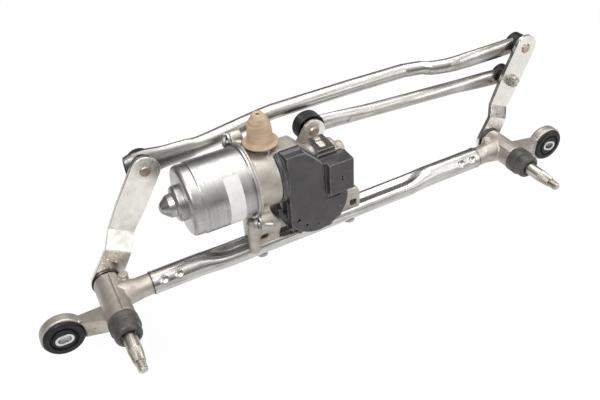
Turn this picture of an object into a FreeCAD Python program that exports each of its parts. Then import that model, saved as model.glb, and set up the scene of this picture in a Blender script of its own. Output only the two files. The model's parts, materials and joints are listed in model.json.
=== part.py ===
import FreeCAD, Part
import math
import os

os.makedirs("parts", exist_ok=True)

# Wiper linkage, millimetres. The origin is on the left spindle's axis, where its plain shaft leaves the cap.
# +X runs along the frame tube to the right spindle, -Y is the way the spindles point, +Z is up.

# Frame and spindle layout
spindle_spacing = 414.0
right_rise = 11.0
tube_radius = 10.5
tube_wall = 1.5
tube_left_y = 51.0
tube_right_y = 44.5
tube_start = 34.5
tube_stop_gap = 34.0
press_start = 78.0
press_full = 106.0
release_start = 292.0
release_full = 322.0
press_lobe = 5.0
press_bottom = 12.2
press_side = 12.0
press_groove = 2.8
press_groove_half = 4.0
dimple_radius = 2.6
dimple_depth = 1.1
dimple_pitch = 13.5
dimple_inset = 9.5

# Spindles and their bearings
spindle_radius = 6.0
thread_radius = 4.0
cone_tip_radius = 4.8
spindle_plain = 15.0
spindle_cone = 13.0
spindle_thread = 9.5
seal_seat_radius = 5.5
bush_wall = 2.0
bush_length = 14.0
running_gap = 0.03
press_gap = 0.02
free_gap = 0.3

# Housings
housing_radius = 12.25
nose_radius = 10.4
nose_start = 6.0
cap_radius = 13.0
cap_length = 21.0
cap_lip_radius = 8.2
cap_wall = 2.0
cap_front = 0.3
left_housing_rear = 72.0
right_housing_rear = 61.0
washer_radius = 13.4
washer_thickness = 1.4
branch_radius = 9.6
rib_width = 7.0
rib_height = 1.3

# Mounting eyes
eye_front = 44.0
grommet_radius = 17.5
grommet_flange = 3.0
eye_ring_width = 10.0
eye_ring_radius = 19.0
eye_bore_radius = 14.0
eye_bush_long = 16.0
eye_bush_short = 10.5
eye_slot_long = 11.0
eye_slot_short = 6.5
left_eye_x = -48.0
left_eye_z = -18.6
right_eye_dx = 72.3
right_eye_dz = -23.0
right_slot_turn = -20.0

# Levers
plate = 4.0
lever_end_radius = 13.2
lever_waist = 11.8
left_lever_radius = 108.0
left_lever_angle = 32.0
left_joggle_start = 33.0
left_joggle_length = 16.0
left_joggle_step = 10.0
right_lever_radius = 100.0
right_lever_angle = 23.0
right_joggle_start = 25.0
right_joggle_length = 12.0
right_joggle_step = 6.0
mid_ball_radius = 65.7
ball_radius = 6.5
ball_neck_radius = 3.6
ball_offset = 9.0
crank_ball_offset = 8.0
rivet_radius = 5.0
rivet_height = 1.4
rivet_shank = 3.5
lever_socket_gap = 0.3
left_open_gap = 3.6
crank_open_gap = 5.4

# Crank and gearbox
crank_axis_x = 187.7
crank_axis_z = 43.1
crank_radius = 47.0
crank_angle = 31.5
crank_front = 74.0
crank_plate = 3.5
crank_hub_radius = 14.0
crank_eye_radius = 11.5
output_radius = 5.0
gear_case_radius = 31.0
case_back = 63.0
motor_axis_y = 50.0
motor_axis_z = 74.6
can_left = 74.4
can_right = 131.0
can_radius = 31.5
can_wall = 1.6
can_corner = 4.0
hub_radius = 15.5
hub_length = 7.0
hub_tip_length = 12.5
flange_radius = 34.0
flange_thickness = 2.0
screw_circle = 37.5
neck_radius = 28.0
neck_step = 154.5
neck_floor = 150.0
neck_flat = 71.6
neck_bore = 23.5
boot_room = 78.2
worm_case_radius = 13.0
tunnel_end = 218.5
end_bush_left = 209.0
worm_left = 170.7
worm_right = 205.2
shaft_radius = 3.0
shaft_bush_outer = 5.0
shaft_bush_length = 8.0
worm_radius = 5.5
wheel_teeth = 44
wheel_width = 10.0
wheel_tooth_height = 2.2
mesh_gap = 0.3
left_foot_x = 138.8
right_foot_x = 231.8
foot_low = 4.0
foot_window = 7.0
foot_window_low = 13.8
foot_window_depth = 6.5
foot_lean = 10.0
leg_radius = 5.2
leg_top = 36.0
web_half = 7.0
vent_x = 149.5
vent_radius = 13.8
vent_base_z = 107.0
vent_height = 28.0
spigot_reach = 6.0

# Cover and connector
cover_front = 24.0
cover_back = 38.0
cover_wall = 2.0
cover_edge = 1.2
cover_left_inset = 3.7
cover_top = 100.5
cover_corner = 177.3
cover_shoulder = 82.5
cover_inset = 0.7
cover_rim = 1.0
cover_rim_depth = 4.0
collar_outer = 28.3
collar_inner = 25.0
skirt_width = 3.5
skirt_depth = 3.5
slot_inset = 7.7
tab_length = 3.3
tab_half = 2.6
groove_width = 2.6
groove_depth = 1.3
groove_low = 44.6
groove_right = 210.3
board_front = 29.0
board_thickness = 1.6
board_left_inset = 5.1
board_right_inset = 3.3
board_low = 50.5
board_top_inset = 7.5
relay_width = 12.0
relay_height = 14.0
relay_depth = 5.0
relay_left_inset = 2.5
relay_top_inset = 9.0
choke_radius = 3.4
connector_front = 19.0
connector_back = 36.4
connector_left = 197.3
connector_right = 221.5
connector_low = 51.0
connector_high = 82.8
connector_wall = 2.2
connector_floor = 7.0
pin_pitch = 8.5
pin_width = 3.16
pin_thickness = 1.16
latch_left = 196.5
latch_right = 212.0
latch_arm = 3.8
latch_back = 58.5
latch_bridge = 2.0
latch_thickness = 2.0
latch_gap = 0.4
keyhole_x = 209.8
keyhole_z = 65.7

# Rods
long_rod_radius = 7.2
short_rod_radius = 6.6
rod_wall = 1.4
long_end_half_height = 8.8
long_end_half_depth = 5.2
socket_radius = 10.5
left_socket_radius = 11.6
crank_socket_radius = 14.2
dent_radius = 7.0
dent_depth = 0.9
socket_front = 6.2
socket_back = 7.6

V = FreeCAD.Vector


# Basic forms

def wire_of(points, place):
    # A closed wire through flat points; a point with four numbers is reached by an arc through its last two.
    edges = []
    here = points[0]
    for item in points[1:] + points[:1]:
        start = place(here[0], here[1])
        end = place(item[0], item[1])
        if start.distanceToPoint(end) > 1e-6:
            if len(item) == 4:
                edges.append(Part.Arc(start, place(item[2], item[3]), end).toShape())
            else:
                edges.append(Part.LineSegment(start, end).toShape())
        here = item
    return Part.Wire(edges)


def outward(shape):
    if shape.Volume < 0:
        shape.reverse()
    return shape


def turned_y(profile, x, z):
    # Profile points are (radius, y).
    wire = wire_of(profile, lambda r, y: V(x + r, y, z))
    return outward(Part.Face(wire).revolve(V(x, 0, z), V(0, 1, 0), 360))


def turned_x(profile, y, z):
    # Profile points are (x, radius).
    wire = wire_of(profile, lambda px, r: V(px, y, z + r))
    return outward(Part.Face(wire).revolve(V(0, y, z), V(1, 0, 0), 360))


def turned_z(profile, x, y):
    # Profile points are (radius, z).
    wire = wire_of(profile, lambda r, pz: V(x + r, y, pz))
    return outward(Part.Face(wire).revolve(V(x, y, 0), V(0, 0, 1), 360))


def plate_y(outline, front, back):
    # Outline points are (x, z).
    wire = wire_of(outline, lambda px, pz: V(px, front, pz))
    return outward(Part.Face(wire).extrude(V(0, back - front, 0)))


def bar(radius, start, stop):
    axis = V(*stop) - V(*start)
    return Part.makeCylinder(radius, axis.Length, V(*start), axis)


def ring_y(outer, inner, x, z, front, back):
    return turned_y([(inner, front), (outer, front), (outer, back), (inner, back)], x, z)


def ring_x(outer, inner, y, z, left, right):
    return turned_x([(left, inner), (left, outer), (right, outer), (right, inner)], y, z)


def box(first, second):
    low = [min(pair) for pair in zip(first, second)]
    size = [abs(b - a) for a, b in zip(first, second)]
    return Part.makeBox(size[0], size[1], size[2], V(*low))


def stadium(x, z, long_size, short_size):
    half = short_size / 2
    run = (long_size - short_size) / 2
    return [(x - run, z - half), (x + run, z - half), (x + run, z + half, x + run + half, z),
            (x - run, z + half), (x - run, z - half, x - run - half, z)]


def teardrop(x0, z0, r0, x1, z1, r1):
    # Two round ends joined by their common tangents.
    heading = math.atan2(z1 - z0, x1 - x0)
    lean = math.acos((r0 - r1) / math.hypot(x1 - x0, z1 - z0))

    def on(x, z, r, angle):
        return (x + r * math.cos(angle), z + r * math.sin(angle))

    first = on(x0, z0, r0, heading - lean)
    second = on(x1, z1, r1, heading - lean)
    third = on(x1, z1, r1, heading + lean)
    fourth = on(x0, z0, r0, heading + lean)
    far = on(x1, z1, r1, heading)
    near = on(x0, z0, r0, heading + math.pi)
    return [first, second, third + far, fourth, first + near]


def hexagon_y(across, x, z, front, back):
    corner = across / math.sqrt(3)
    turns = [math.radians(60 * step) for step in range(6)]
    return plate_y([(x + corner * math.cos(t), z + corner * math.sin(t)) for t in turns], front, back)


def rounded_section(x, y_low, y_high, z_low, z_high, corner):
    cut = corner * (1 - math.sqrt(0.5))
    points = [(y_low + corner, z_low), (y_high - corner, z_low),
              (y_high, z_low + corner, y_high - cut, z_low + cut), (y_high, z_high - corner),
              (y_high - corner, z_high, y_high - cut, z_high - cut), (y_low + corner, z_high),
              (y_low, z_high - corner, y_low + cut, z_high - cut), (y_low, z_low + corner),
              (y_low + corner, z_low, y_low + cut, z_low + cut)]
    return wire_of(points, lambda py, pz: V(x, py, pz))


def closed_curve(points):
    curve = Part.BSplineCurve()
    curve.interpolate(Points=points, PeriodicFlag=True)
    return Part.Wire(curve.toShape())


def mix(start, stop, share):
    return start + (stop - start) * share


def smooth(share):
    share = min(max(share, 0.0), 1.0)
    return share * share * (3 - 2 * share)


def save(name, shape):
    shape.exportStep("parts/" + name + ".step")


# Places worked out from the layout

right_x = spindle_spacing
right_z = right_rise
left_lever_front = left_housing_rear + press_gap + washer_thickness + free_gap
right_lever_front = right_housing_rear + press_gap + washer_thickness + free_gap
left_plate_back = left_lever_front + left_joggle_step + plate
right_plate_back = right_lever_front + right_joggle_step + plate
crank_plate_back = crank_front + crank_plate
left_ball_y = left_plate_back + ball_offset
right_ball_y = right_plate_back + ball_offset
crank_ball_y = crank_plate_back + crank_ball_offset
tube_stop = spindle_spacing - tube_stop_gap
left_turn = math.radians(left_lever_angle)
right_turn = math.radians(right_lever_angle)
crank_turn = math.radians(crank_angle)
left_ball = (left_lever_radius * math.sin(left_turn), left_lever_radius * math.cos(left_turn))
right_ball = (right_x + right_lever_radius * math.sin(right_turn),
              right_z + right_lever_radius * math.cos(right_turn))
mid_ball = (right_x + mid_ball_radius * math.sin(right_turn),
            right_z + mid_ball_radius * math.cos(right_turn))
crank_ball = (crank_axis_x + crank_radius * math.sin(crank_turn),
              crank_axis_z + crank_radius * math.cos(crank_turn))
right_eye_x = right_x + right_eye_dx
right_eye_z = right_z + right_eye_dz
bush_outer = spindle_radius + running_gap + bush_wall
spigot_radius = tube_radius - tube_wall - press_gap
eye_ring_front = eye_front + grommet_flange
eye_ring_back = eye_ring_front + eye_ring_width
neck_bush_left = neck_floor + 1.5
wheel_tip = motor_axis_z - crank_axis_z - worm_radius - mesh_gap
foot_centres = [left_foot_x, right_foot_x]
cover_left = crank_axis_x - gear_case_radius + cover_left_inset
skirt_radius = gear_case_radius + skirt_width
slot_circle = gear_case_radius - slot_inset
tab_reach = gear_case_radius + tab_length
connector_middle = (connector_low + connector_high) / 2
pin_places = [connector_middle + step * pin_pitch for step in (-1, 0, 1)]
tunnel_top = motor_axis_z + worm_case_radius
latch_low = tunnel_top + latch_gap
latch_high = latch_low + latch_thickness


# Frame tube

def tube_axis(x):
    share = x / spindle_spacing
    return mix(tube_left_y, tube_right_y, share), right_rise * share


def pressed_share(x):
    rise = smooth((x - press_start) / (press_full - press_start))
    fall = smooth((x - release_start) / (release_full - release_start))
    return rise - fall


def tube_section(x, grow):
    # Five arcs: two lobes, the groove between them and two lower quarters. Unpressed, they make a circle.
    y, z = tube_axis(x)
    pressed = pressed_share(x)
    lobe = press_lobe + grow
    lobe_x = press_side - press_lobe
    edge_z = math.sqrt(lobe ** 2 - (lobe_x - press_groove_half) ** 2)
    slant = math.sqrt(0.5)
    kidney = [(press_side + grow, 0), (lobe_x + lobe * slant, lobe * slant), (press_groove_half, edge_z),
              (0, press_groove + grow), (0, -press_bottom - grow),
              ((press_side + grow) * slant, -(press_bottom + grow) * slant)]
    spots = []
    for degrees, flat in zip((0, 32, 68, 90, -90, -45), kidney):
        turn = math.radians(degrees)
        reach = tube_radius + grow
        across = mix(reach * math.cos(turn), flat[0], pressed)
        spots.append((across, mix(reach * math.sin(turn), flat[1], pressed)))
    side, upper, edge, middle, bottom, lower = spots
    outline = [side, edge + upper, (-edge[0], edge[1]) + middle, (-side[0], side[1], -upper[0], upper[1]),
               bottom + (-lower[0], lower[1]), side + lower]
    return wire_of(outline, lambda side_y, up: V(x, y + side_y, z + up))


def tube_form(start, stop, grow):
    # Straight runs are extruded; the two pressings between round and kidney section are lofted.
    parts = []
    for left, right in ((start, press_start), (press_full, release_start), (release_full, stop)):
        run = V(right, *tube_axis(right)) - V(left, *tube_axis(left))
        parts.append(outward(Part.Face(tube_section(left, grow)).extrude(run)))
    for left, right in ((press_start, press_full), (release_start, release_full)):
        sections = [tube_section(mix(left, right, step / 4), grow) for step in range(5)]
        parts.append(outward(Part.makeLoft(sections, True, True)))
    return parts[0].fuse(parts[1:])


def round_run(start, stop, radius):
    # A round bar along the tube's axis, cut square to X at both ends.
    y, z = tube_axis(start)
    circle = Part.Circle(V(start, y, z), V(1, 0, 0), radius)
    return outward(Part.Face(Part.Wire(circle.toShape())).extrude(V(stop, *tube_axis(stop)) - V(start, y, z)))


def crimp_dimple(x):
    y, z = tube_axis(x)
    lean = math.radians(38)
    reach = tube_radius + dimple_radius - dimple_depth
    return Part.makeSphere(dimple_radius, V(x, y - reach * math.cos(lean), z + reach * math.sin(lean)))


def frame_tube():
    shape = tube_form(tube_start, tube_stop, 0).cut(tube_form(tube_start - 1, tube_stop + 1, -tube_wall))
    for step in range(2):
        shape = shape.cut(crimp_dimple(tube_start + dimple_inset + step * dimple_pitch))
        shape = shape.cut(crimp_dimple(tube_stop - dimple_inset - step * dimple_pitch))
    return shape


# Cast spindle housings with their mounting eyes

def housing(x, z, rear, tube_end, eye_x, eye_z, root_low, root_high):
    side = 1 if tube_end > x else -1
    nose = bar(nose_radius, (x, nose_start, z), (x, cap_length + 1, z))
    barrel = turned_y([(0, cap_length), (housing_radius, cap_length), (housing_radius, rear - 1),
                       (housing_radius - 1, rear), (0, rear)], x, z)
    rib_top = z + housing_radius + rib_height
    rib = box((x - rib_width / 2, cap_length, z), (x + rib_width / 2, rear - 2, rib_top))
    rib.rotate(V(x, 0, z), V(0, 1, 0), 28 * side)
    shape = nose.fuse([barrel, rib])
    hub_y, hub_z = tube_axis(x)
    flare = Part.makeCone(housing_radius, branch_radius, 18, V(x + side * 6, hub_y, hub_z), V(side, 0, 0))
    branch = round_run(x + side * 10, tube_end - side * 0.1, branch_radius)
    spigot = round_run(tube_end - side * 2, tube_end + side * 22, spigot_radius)
    boss = bar(4.2, (x + side * 14, rear - 10, z + 2), (x + side * 14, rear - 10, z + 12.6))
    arm_x = eye_x + math.copysign(eye_ring_radius - 5, x - eye_x)
    root_x = x + math.copysign(7, eye_x - x)
    root = rounded_section(root_x, cap_length + 3, cap_length + 24, root_low, root_high, 3)
    tip = rounded_section(arm_x, eye_ring_front, eye_ring_back, eye_z - 10.5, eye_z + 10.5, 3)
    arm = outward(Part.makeLoft([root, tip], True, True))
    ring = turned_y([(0, eye_ring_front), (eye_ring_radius - 1, eye_ring_front),
                     (eye_ring_radius, eye_ring_front + 1), (eye_ring_radius, eye_ring_back - 1),
                     (eye_ring_radius - 1, eye_ring_back), (0, eye_ring_back)], eye_x, eye_z)
    shape = shape.fuse([flare, branch, spigot, boss, arm, ring])
    shape = shape.cut(bar(bush_outer + press_gap, (x, nose_start - 1, z), (x, rear + 1, z)))
    flange_room = grommet_radius + 0.8
    for radius, front, back in ((eye_bore_radius, eye_ring_front - 5, eye_ring_back + 5),
                                (flange_room, eye_ring_front - 20, eye_ring_front),
                                (flange_room, eye_ring_back, eye_ring_back + 20)):
        shape = shape.cut(bar(radius, (eye_x, front, eye_z), (eye_x, back, eye_z)))
    return shape


def seal_cap(x, z):
    bore = spindle_radius + free_gap
    inside = nose_radius + press_gap
    return turned_y([(bore, 1.0), (cap_lip_radius - 1.6, 1.0), (cap_lip_radius - 1.0, cap_front),
                     (cap_lip_radius, cap_front),
                     (cap_radius - 2.4, 1.4), (cap_radius - 0.7, 3.4), (cap_radius, 6.5),
                     (cap_radius, cap_length), (inside, cap_length), (inside, 1 + cap_wall),
                     (bore, 1 + cap_wall)], x, z)


def spindle(x, z, lever_front):
    cone_y = -spindle_plain
    thread_y = cone_y - spindle_cone
    tip_y = thread_y - spindle_thread
    end = spindle_radius - 1.0
    shoulder = lever_front
    tail = shoulder + plate
    return turned_y([(0, tip_y), (thread_radius - 1.2, tip_y), (thread_radius, tip_y + 1.4),
                     (thread_radius, thread_y - 1.0), (cone_tip_radius, thread_y), (spindle_radius, cone_y),
                     (spindle_radius, 0), (seal_seat_radius, 0), (seal_seat_radius, 3.5),
                     (spindle_radius - 0.7, 3.5), (spindle_radius - 0.7, 4.7),
                     (spindle_radius, 4.7), (spindle_radius, shoulder), (end, shoulder),
                     (end, tail), (end + 2, tail), (end + 1.2, tail + 1.4), (0, tail + 1.4)], x, z)


def circlip(x, z):
    shape = ring_y(spindle_radius + 2.0, spindle_radius - 0.6, x, z, 3.6, 4.6)
    return shape.cut(box((x - 2, 3, z - 12), (x + 2, 5, z)))


def front_washer(x, z):
    return ring_y(nose_radius - 0.6, spindle_radius + 0.1, x, z, 4.9, nose_start - press_gap)


def rear_washer(x, z, rear):
    front = rear + press_gap
    back = front + washer_thickness
    bore = spindle_radius + 0.1
    return turned_y([(bore, front), (washer_radius - 0.4, front), (washer_radius, front + 0.5),
                     (washer_radius, back - 0.5), (washer_radius - 0.4, back), (bore, back)], x, z)


def bearing_bushes(x, z, rear):
    inner = spindle_radius + running_gap
    first = ring_y(bush_outer, inner, x, z, nose_start + 0.3, nose_start + bush_length)
    second = ring_y(bush_outer, inner, x, z, rear - bush_length, rear - 0.3)
    return Part.makeCompound([first, second])


def eye_bush(x, z, turn):
    outer = plate_y(stadium(x, z, eye_bush_long, eye_bush_short), eye_front - 0.6, eye_ring_back + 3.1)
    slot = plate_y(stadium(x, z, eye_slot_long, eye_slot_short), eye_front - 2, eye_ring_back + 5)
    shape = outer.cut(slot)
    shape.rotate(V(x, 0, z), V(0, 1, 0), turn)
    return shape


def grommet(x, z, turn):
    front = eye_front
    back = eye_ring_back
    waist = eye_bore_radius - press_gap
    body = turned_y([(0, front + 0.2), (9.8, front + 0.2), (10.4, front + 2.2), (11.6, front + 2.2),
                     (12.4, front), (14.8, front), (16.4, front + 0.4), (grommet_radius, front + 1.6),
                     (grommet_radius, front + grommet_flange), (waist, front + grommet_flange), (waist, back),
                     (grommet_radius - 0.6, back), (grommet_radius - 0.6, back + 1.2), (15.0, back + 2.5),
                     (0, back + 2.5)], x, z)
    slot = stadium(x, z, eye_bush_long + 2 * press_gap, eye_bush_short + 2 * press_gap)
    pocket = plate_y(slot, front - 2, back + 5)
    pocket.rotate(V(x, 0, z), V(0, 1, 0), turn)
    return body.cut(pocket)


# Levers and ball studs

def lever(x, z, front, radius, angle, start, length, step, holes):
    # The plate stands along +Z here and is turned about its spindle at the end.
    lean = math.atan2(step, length)
    back_shift = plate * math.tan(lean / 2)
    stop = start + length
    low = -lever_end_radius - 2
    high = radius + lever_end_radius + 2
    side = [(front, low), (front, start), (front + step, stop), (front + step, high),
            (front + step + plate, high), (front + step + plate, stop - back_shift),
            (front + plate, start - back_shift), (front + plate, low)]
    wire = wire_of(side, lambda py, pz: V(-20, py, pz))
    strip = outward(Part.Face(wire).extrude(V(40, 0, 0)))
    bends = [edge for edge in strip.Edges
             if abs(edge.Vertexes[0].X - edge.Vertexes[-1].X) > 30
             and start - plate < edge.Vertexes[0].Z < stop + 1]
    strip = strip.makeFillet(plate * 0.7, bends)
    plan = [(-lever_end_radius, 0), (-lever_waist, start), (-lever_waist, stop), (-lever_end_radius, stop + 22),
            (-lever_end_radius, radius), (lever_end_radius, radius, 0, radius + lever_end_radius),
            (lever_end_radius, stop + 22), (lever_waist, stop), (lever_waist, start), (lever_end_radius, 0),
            (-lever_end_radius, 0, 0, -lever_end_radius)]
    shape = strip.common(plate_y(plan, front - 1, front + step + plate + 1))
    behind = front + step + plate + 5
    for distance, hole in holes:
        shape = shape.cut(bar(hole + press_gap, (0, front - 5, distance), (0, behind, distance)))
    shape.rotate(V(0, 0, 0), V(0, 1, 0), angle)
    shape.translate(V(x, 0, z))
    return shape


def ball_end(back, ball_y):
    rise = math.sqrt(ball_radius ** 2 - ball_neck_radius ** 2)
    return [(6.2, back), (6.2, back + 1.2), (ball_neck_radius, back + 1.8), (ball_neck_radius, ball_y - rise),
            (0, ball_y + ball_radius, ball_radius, ball_y)]


def riveted_stud(x, z, front, back, ball_y):
    head = [(0, front - rivet_height), (rivet_radius - 0.9, front - rivet_height),
            (rivet_radius, front - 0.4), (rivet_radius, front), (rivet_shank, front), (rivet_shank, back)]
    return turned_y(head + ball_end(back, ball_y), x, z)


def bolted_stud(x, z, front, back, ball_y):
    shank = [(0, front - 8.5), (2.4, front - 8.5), (3.0, front - 7.9), (3.0, back)]
    return turned_y(shank + ball_end(back, ball_y), x, z)


def stud_nut(x, z, front):
    washer = ring_y(6.4, 3.0 + press_gap, x, z, front - 1.2, front)
    nut = hexagon_y(10.0, x, z, front - 6.4, front - 1.2)
    return nut.cut(bar(3.0 + press_gap, (x, front - 9, z), (x, front, z))).fuse(washer)


# Rods

def rod_section(station, shrink):
    x, y, z, half_depth, half_height = station
    points = []
    for step in range(12):
        turn = 2 * math.pi * step / 12
        depth = (half_depth - shrink) * math.cos(turn)
        points.append(V(x, y + depth, z + (half_height - shrink) * math.sin(turn)))
    return closed_curve(points)


def between(a, b, c, d, t):
    # The value at share t from b to c on a smooth curve that also heeds a and d.
    return 0.5 * (2 * b + (c - a) * t + (2 * a - 5 * b + 4 * c - d) * t * t + (3 * b - a - 3 * c + d) * t ** 3)


def eased(stations, pieces):
    # Even curves through the stations, each value followed by itself.
    result = []
    for index in range(len(stations) - 1):
        before = stations[max(index - 1, 0)]
        first = stations[index]
        second = stations[index + 1]
        after = stations[min(index + 2, len(stations) - 1)]
        for piece in range(pieces):
            t = piece / pieces
            result.append(tuple(between(a, b, c, d, t) for a, b, c, d in zip(before, first, second, after)))
    return result + [stations[-1]]


def rod_form(stations, shrink):
    sections = [rod_section(station, shrink) for station in eased(stations, 2)]
    return outward(Part.makeLoft(sections, True, True))


def hollow_rod(stations):
    return rod_form(stations, 0).cut(rod_form(stations, rod_wall))


def socket(x, z, ball_y, outer):
    # The seat wraps the ball; its mouth is narrower than the ball.
    seat = ball_radius + lever_socket_gap
    mouth = 5.4
    reach = math.sqrt(seat ** 2 - mouth ** 2)
    front = ball_y - socket_front
    back = ball_y + socket_back
    return turned_y([(mouth, ball_y - reach), (mouth + 0.6, front), (outer - 1, front), (outer, front + 1),
                     (outer, back - 1.5), (outer - 1.5, back), (0, back), (0, ball_y + seat),
                     (mouth, ball_y - reach, seat, ball_y)], x, z)


def open_socket(x, z, ball_y, outer, gap):
    # The seat is a wide straight pocket, because this pivot is the open one of its loop.
    seat = ball_radius + gap
    floor = ball_y + ball_radius + 0.3
    return turned_y([(seat, ball_y - socket_front), (outer - 0.8, ball_y - socket_front),
                     (outer, ball_y - socket_front + 0.8), (outer, floor + 0.2), (outer - 1.2, floor + 1.4),
                     (0, floor + 1.4), (0, floor), (seat, floor)], x, z)


left_x, left_z = left_ball
long_stations = [
    (left_x - 13.5, left_ball_y, left_z - 0.3, 6.6, 10.6),
    (left_x - 6.0, left_ball_y, left_z, 7.8, 12.6),
    (left_x + 6.0, left_ball_y, left_z + 0.2, 7.8, 12.6),
    (left_x + 20.0, left_ball_y, left_z + 0.2, 6.6, 10.4),
    (left_x + 42.0, left_ball_y + 0.4, left_z, 6.2, 9.6),
    (left_x + 49.0, left_ball_y + 0.8, left_z + 0.4, 6.6, 7.9),
    (left_x + 57.0, left_ball_y + 1.2, left_z + 0.8, 6.9, 7.5),
    (left_x + 76.0, left_ball_y + 2.4, left_z + 2.6, long_rod_radius, 7.5),
    (left_x + 118.0, left_ball_y + 5.4, left_z + 6.8, long_rod_radius, long_rod_radius),
    (left_x + 148.0, left_ball_y + 5.8, left_z + 7.6, long_rod_radius, long_rod_radius),
    (right_ball[0] - 126.0, left_ball_y + 5.8, right_ball[1] - 3.6, long_rod_radius, 6.8),
    (right_ball[0] - 102.0, right_ball_y + 10.5, right_ball[1] - 3.2, long_rod_radius, 6.8),
    (right_ball[0] - 84.0, right_ball_y + 4.2, right_ball[1] - 2.6, 6.8, 7.2),
    (right_ball[0] - 60.0, right_ball_y + 2.0, right_ball[1] - 1.8, 5.8, 8.2),
    (right_ball[0] - 7.0, right_ball_y + 0.6, right_ball[1] - 0.4, long_end_half_depth, long_end_half_height)]
short_stations = [
    (crank_ball[0] + 9.0, crank_ball_y, crank_ball[1] - 0.5, 5.2, 8.2),
    (crank_ball[0] + 28.0, crank_ball_y, crank_ball[1] - 1.6, 5.5, 8.0),
    (crank_ball[0] + 50.0, crank_ball_y, crank_ball[1] - 3.2, 6.2, 7.3),
    (crank_ball[0] + 73.0, crank_ball_y - 0.4, crank_ball[1] - 4.4, short_rod_radius, short_rod_radius),
    (mid_ball[0] - 70.0, right_ball_y + 2.2, mid_ball[1] + 3.6, short_rod_radius, short_rod_radius),
    (mid_ball[0] - 48.0, right_ball_y + 1.4, mid_ball[1] + 2.6, 6.0, 7.4),
    (mid_ball[0] - 28.0, right_ball_y + 0.8, mid_ball[1] + 1.6, 5.3, 8.3),
    (mid_ball[0] - 6.0, right_ball_y + 0.2, mid_ball[1] + 0.4, 5.2, 8.6)]


def long_rod():
    shape = hollow_rod(long_stations)
    shape = shape.cut(bar(left_socket_radius + press_gap, (left_x, left_ball_y - 12, left_z),
                          (left_x, left_ball_y + ball_radius + 0.3 + 1.4 + press_gap, left_z)))
    return shape.cut(bar(socket_radius + press_gap, (right_ball[0], right_ball_y - 14, right_ball[1]),
                         (right_ball[0], right_ball_y + 14, right_ball[1])))


def dent(start, stop, reach):
    # A long oval hollow pressed into a rod's front; start and stop lie on the surface.
    first = V(start[0], start[1] - dent_radius + reach, start[2])
    last = V(stop[0], stop[1] - dent_radius + reach, stop[2])
    ends = [Part.makeSphere(dent_radius, first), Part.makeSphere(dent_radius, last)]
    return bar(dent_radius, first, last).fuse(ends)


def short_rod():
    shape = hollow_rod(short_stations)
    shape = shape.cut(dent((mid_ball[0] - 40, right_ball_y - 4.6, mid_ball[1] + 2.2),
                           (mid_ball[0] - 19, right_ball_y - 4.6, mid_ball[1] + 1.2), dent_depth))
    shape = shape.cut(dent((crank_ball[0] + 24, crank_ball_y - 5.4, crank_ball[1] - 1.4),
                           (crank_ball[0] + 38, crank_ball_y - 5.6, crank_ball[1] - 2.4), dent_depth))
    shape = shape.cut(bar(crank_socket_radius + press_gap, (crank_ball[0], crank_ball_y - 12, crank_ball[1]),
                          (crank_ball[0], crank_ball_y + 12, crank_ball[1])))
    return shape.cut(bar(socket_radius + press_gap, (mid_ball[0], right_ball_y - 12, mid_ball[1]),
                         (mid_ball[0], right_ball_y + 12, mid_ball[1])))


# Motor

def around_motor(y_offset, z_offset):
    return motor_axis_y + y_offset, motor_axis_z + z_offset


ear_shift = screw_circle * math.sqrt(0.5)
screw_places = [around_motor(ear_shift, ear_shift), around_motor(-ear_shift, -ear_shift)]
hub_left = can_left - hub_length
tip_left = hub_left - hub_tip_length


def motor_can():
    w = can_wall
    step_x = can_left + 11.0
    small = can_radius - 0.8
    flange_left = can_right - flange_thickness
    profile = [(can_right, can_radius - w), (can_right, flange_radius), (flange_left, flange_radius),
               (flange_left, can_radius), (step_x, can_radius), (step_x - 0.8, small),
               (can_left + can_corner, small),
               (can_left, small - can_corner, can_left + can_corner * 0.29, small - can_corner * 0.29),
               (can_left, hub_radius), (hub_left + 2, hub_radius), (hub_left, hub_radius - 2),
               (hub_left, 10.5), (hub_left - 5, 9.6), (tip_left + 1.6, 4.6),
               (tip_left + 0.4, 2.4), (tip_left, 0), (tip_left + w, 0), (tip_left + w + 1.4, 3.6),
               (hub_left - 4.4, shaft_bush_outer + press_gap), (can_left + w, shaft_bush_outer + press_gap),
               (can_left + w, small - can_corner - w), (can_left + can_corner, small - w),
               (step_x, small - w), (step_x + 0.8, can_radius - w)]
    shape = turned_x(profile, motor_axis_y, motor_axis_z)
    for y, z in screw_places:
        ear = bar(7.5, (flange_left, y, z), (can_right, y, z))
        ear = ear.cut(bar(can_radius - w, (flange_left - 1, motor_axis_y, motor_axis_z),
                          (can_right + 1, motor_axis_y, motor_axis_z)))
        shape = shape.fuse(ear)
    for y, z in screw_places:
        shape = shape.cut(bar(2.7, (flange_left - 2, y, z), (can_right + 2, y, z)))
    return shape


def can_screws():
    flange_left = can_right - flange_thickness
    parts = []
    for y, z in screw_places:
        head = turned_x([(flange_left - 3.6, 0), (flange_left - 3.6, 4.0), (flange_left - 2.8, 5.0),
                         (flange_left, 5.0), (flange_left, 2.4), (can_right + 11, 2.4), (can_right + 12, 1.6),
                         (can_right + 12, 0)], y, z)
        slot = box((flange_left - 4, y - 4.5, z - 0.7), (flange_left - 2.2, y + 4.5, z + 0.7))
        parts.append(head.cut(slot))
    return Part.makeCompound(parts)


def field_magnets():
    # Two curved magnets, above and below, with a gap of 18 mm between their edges.
    outer = can_radius - can_wall - 0.05
    my = motor_axis_y
    mz = motor_axis_z
    parts = []
    for side in (-1, 1):
        shell = ring_x(outer, 22.8, my, mz, 87.0, 121.0)
        parts.append(shell.common(box((86, my - 40, mz + 9 * side), (122, my + 40, mz + 40 * side))))
    return Part.makeCompound(parts)


def shaft_bush(left, outer_gap):
    return ring_x(shaft_bush_outer - outer_gap, shaft_radius + running_gap, motor_axis_y, motor_axis_z, left,
                  left + shaft_bush_length)


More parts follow.
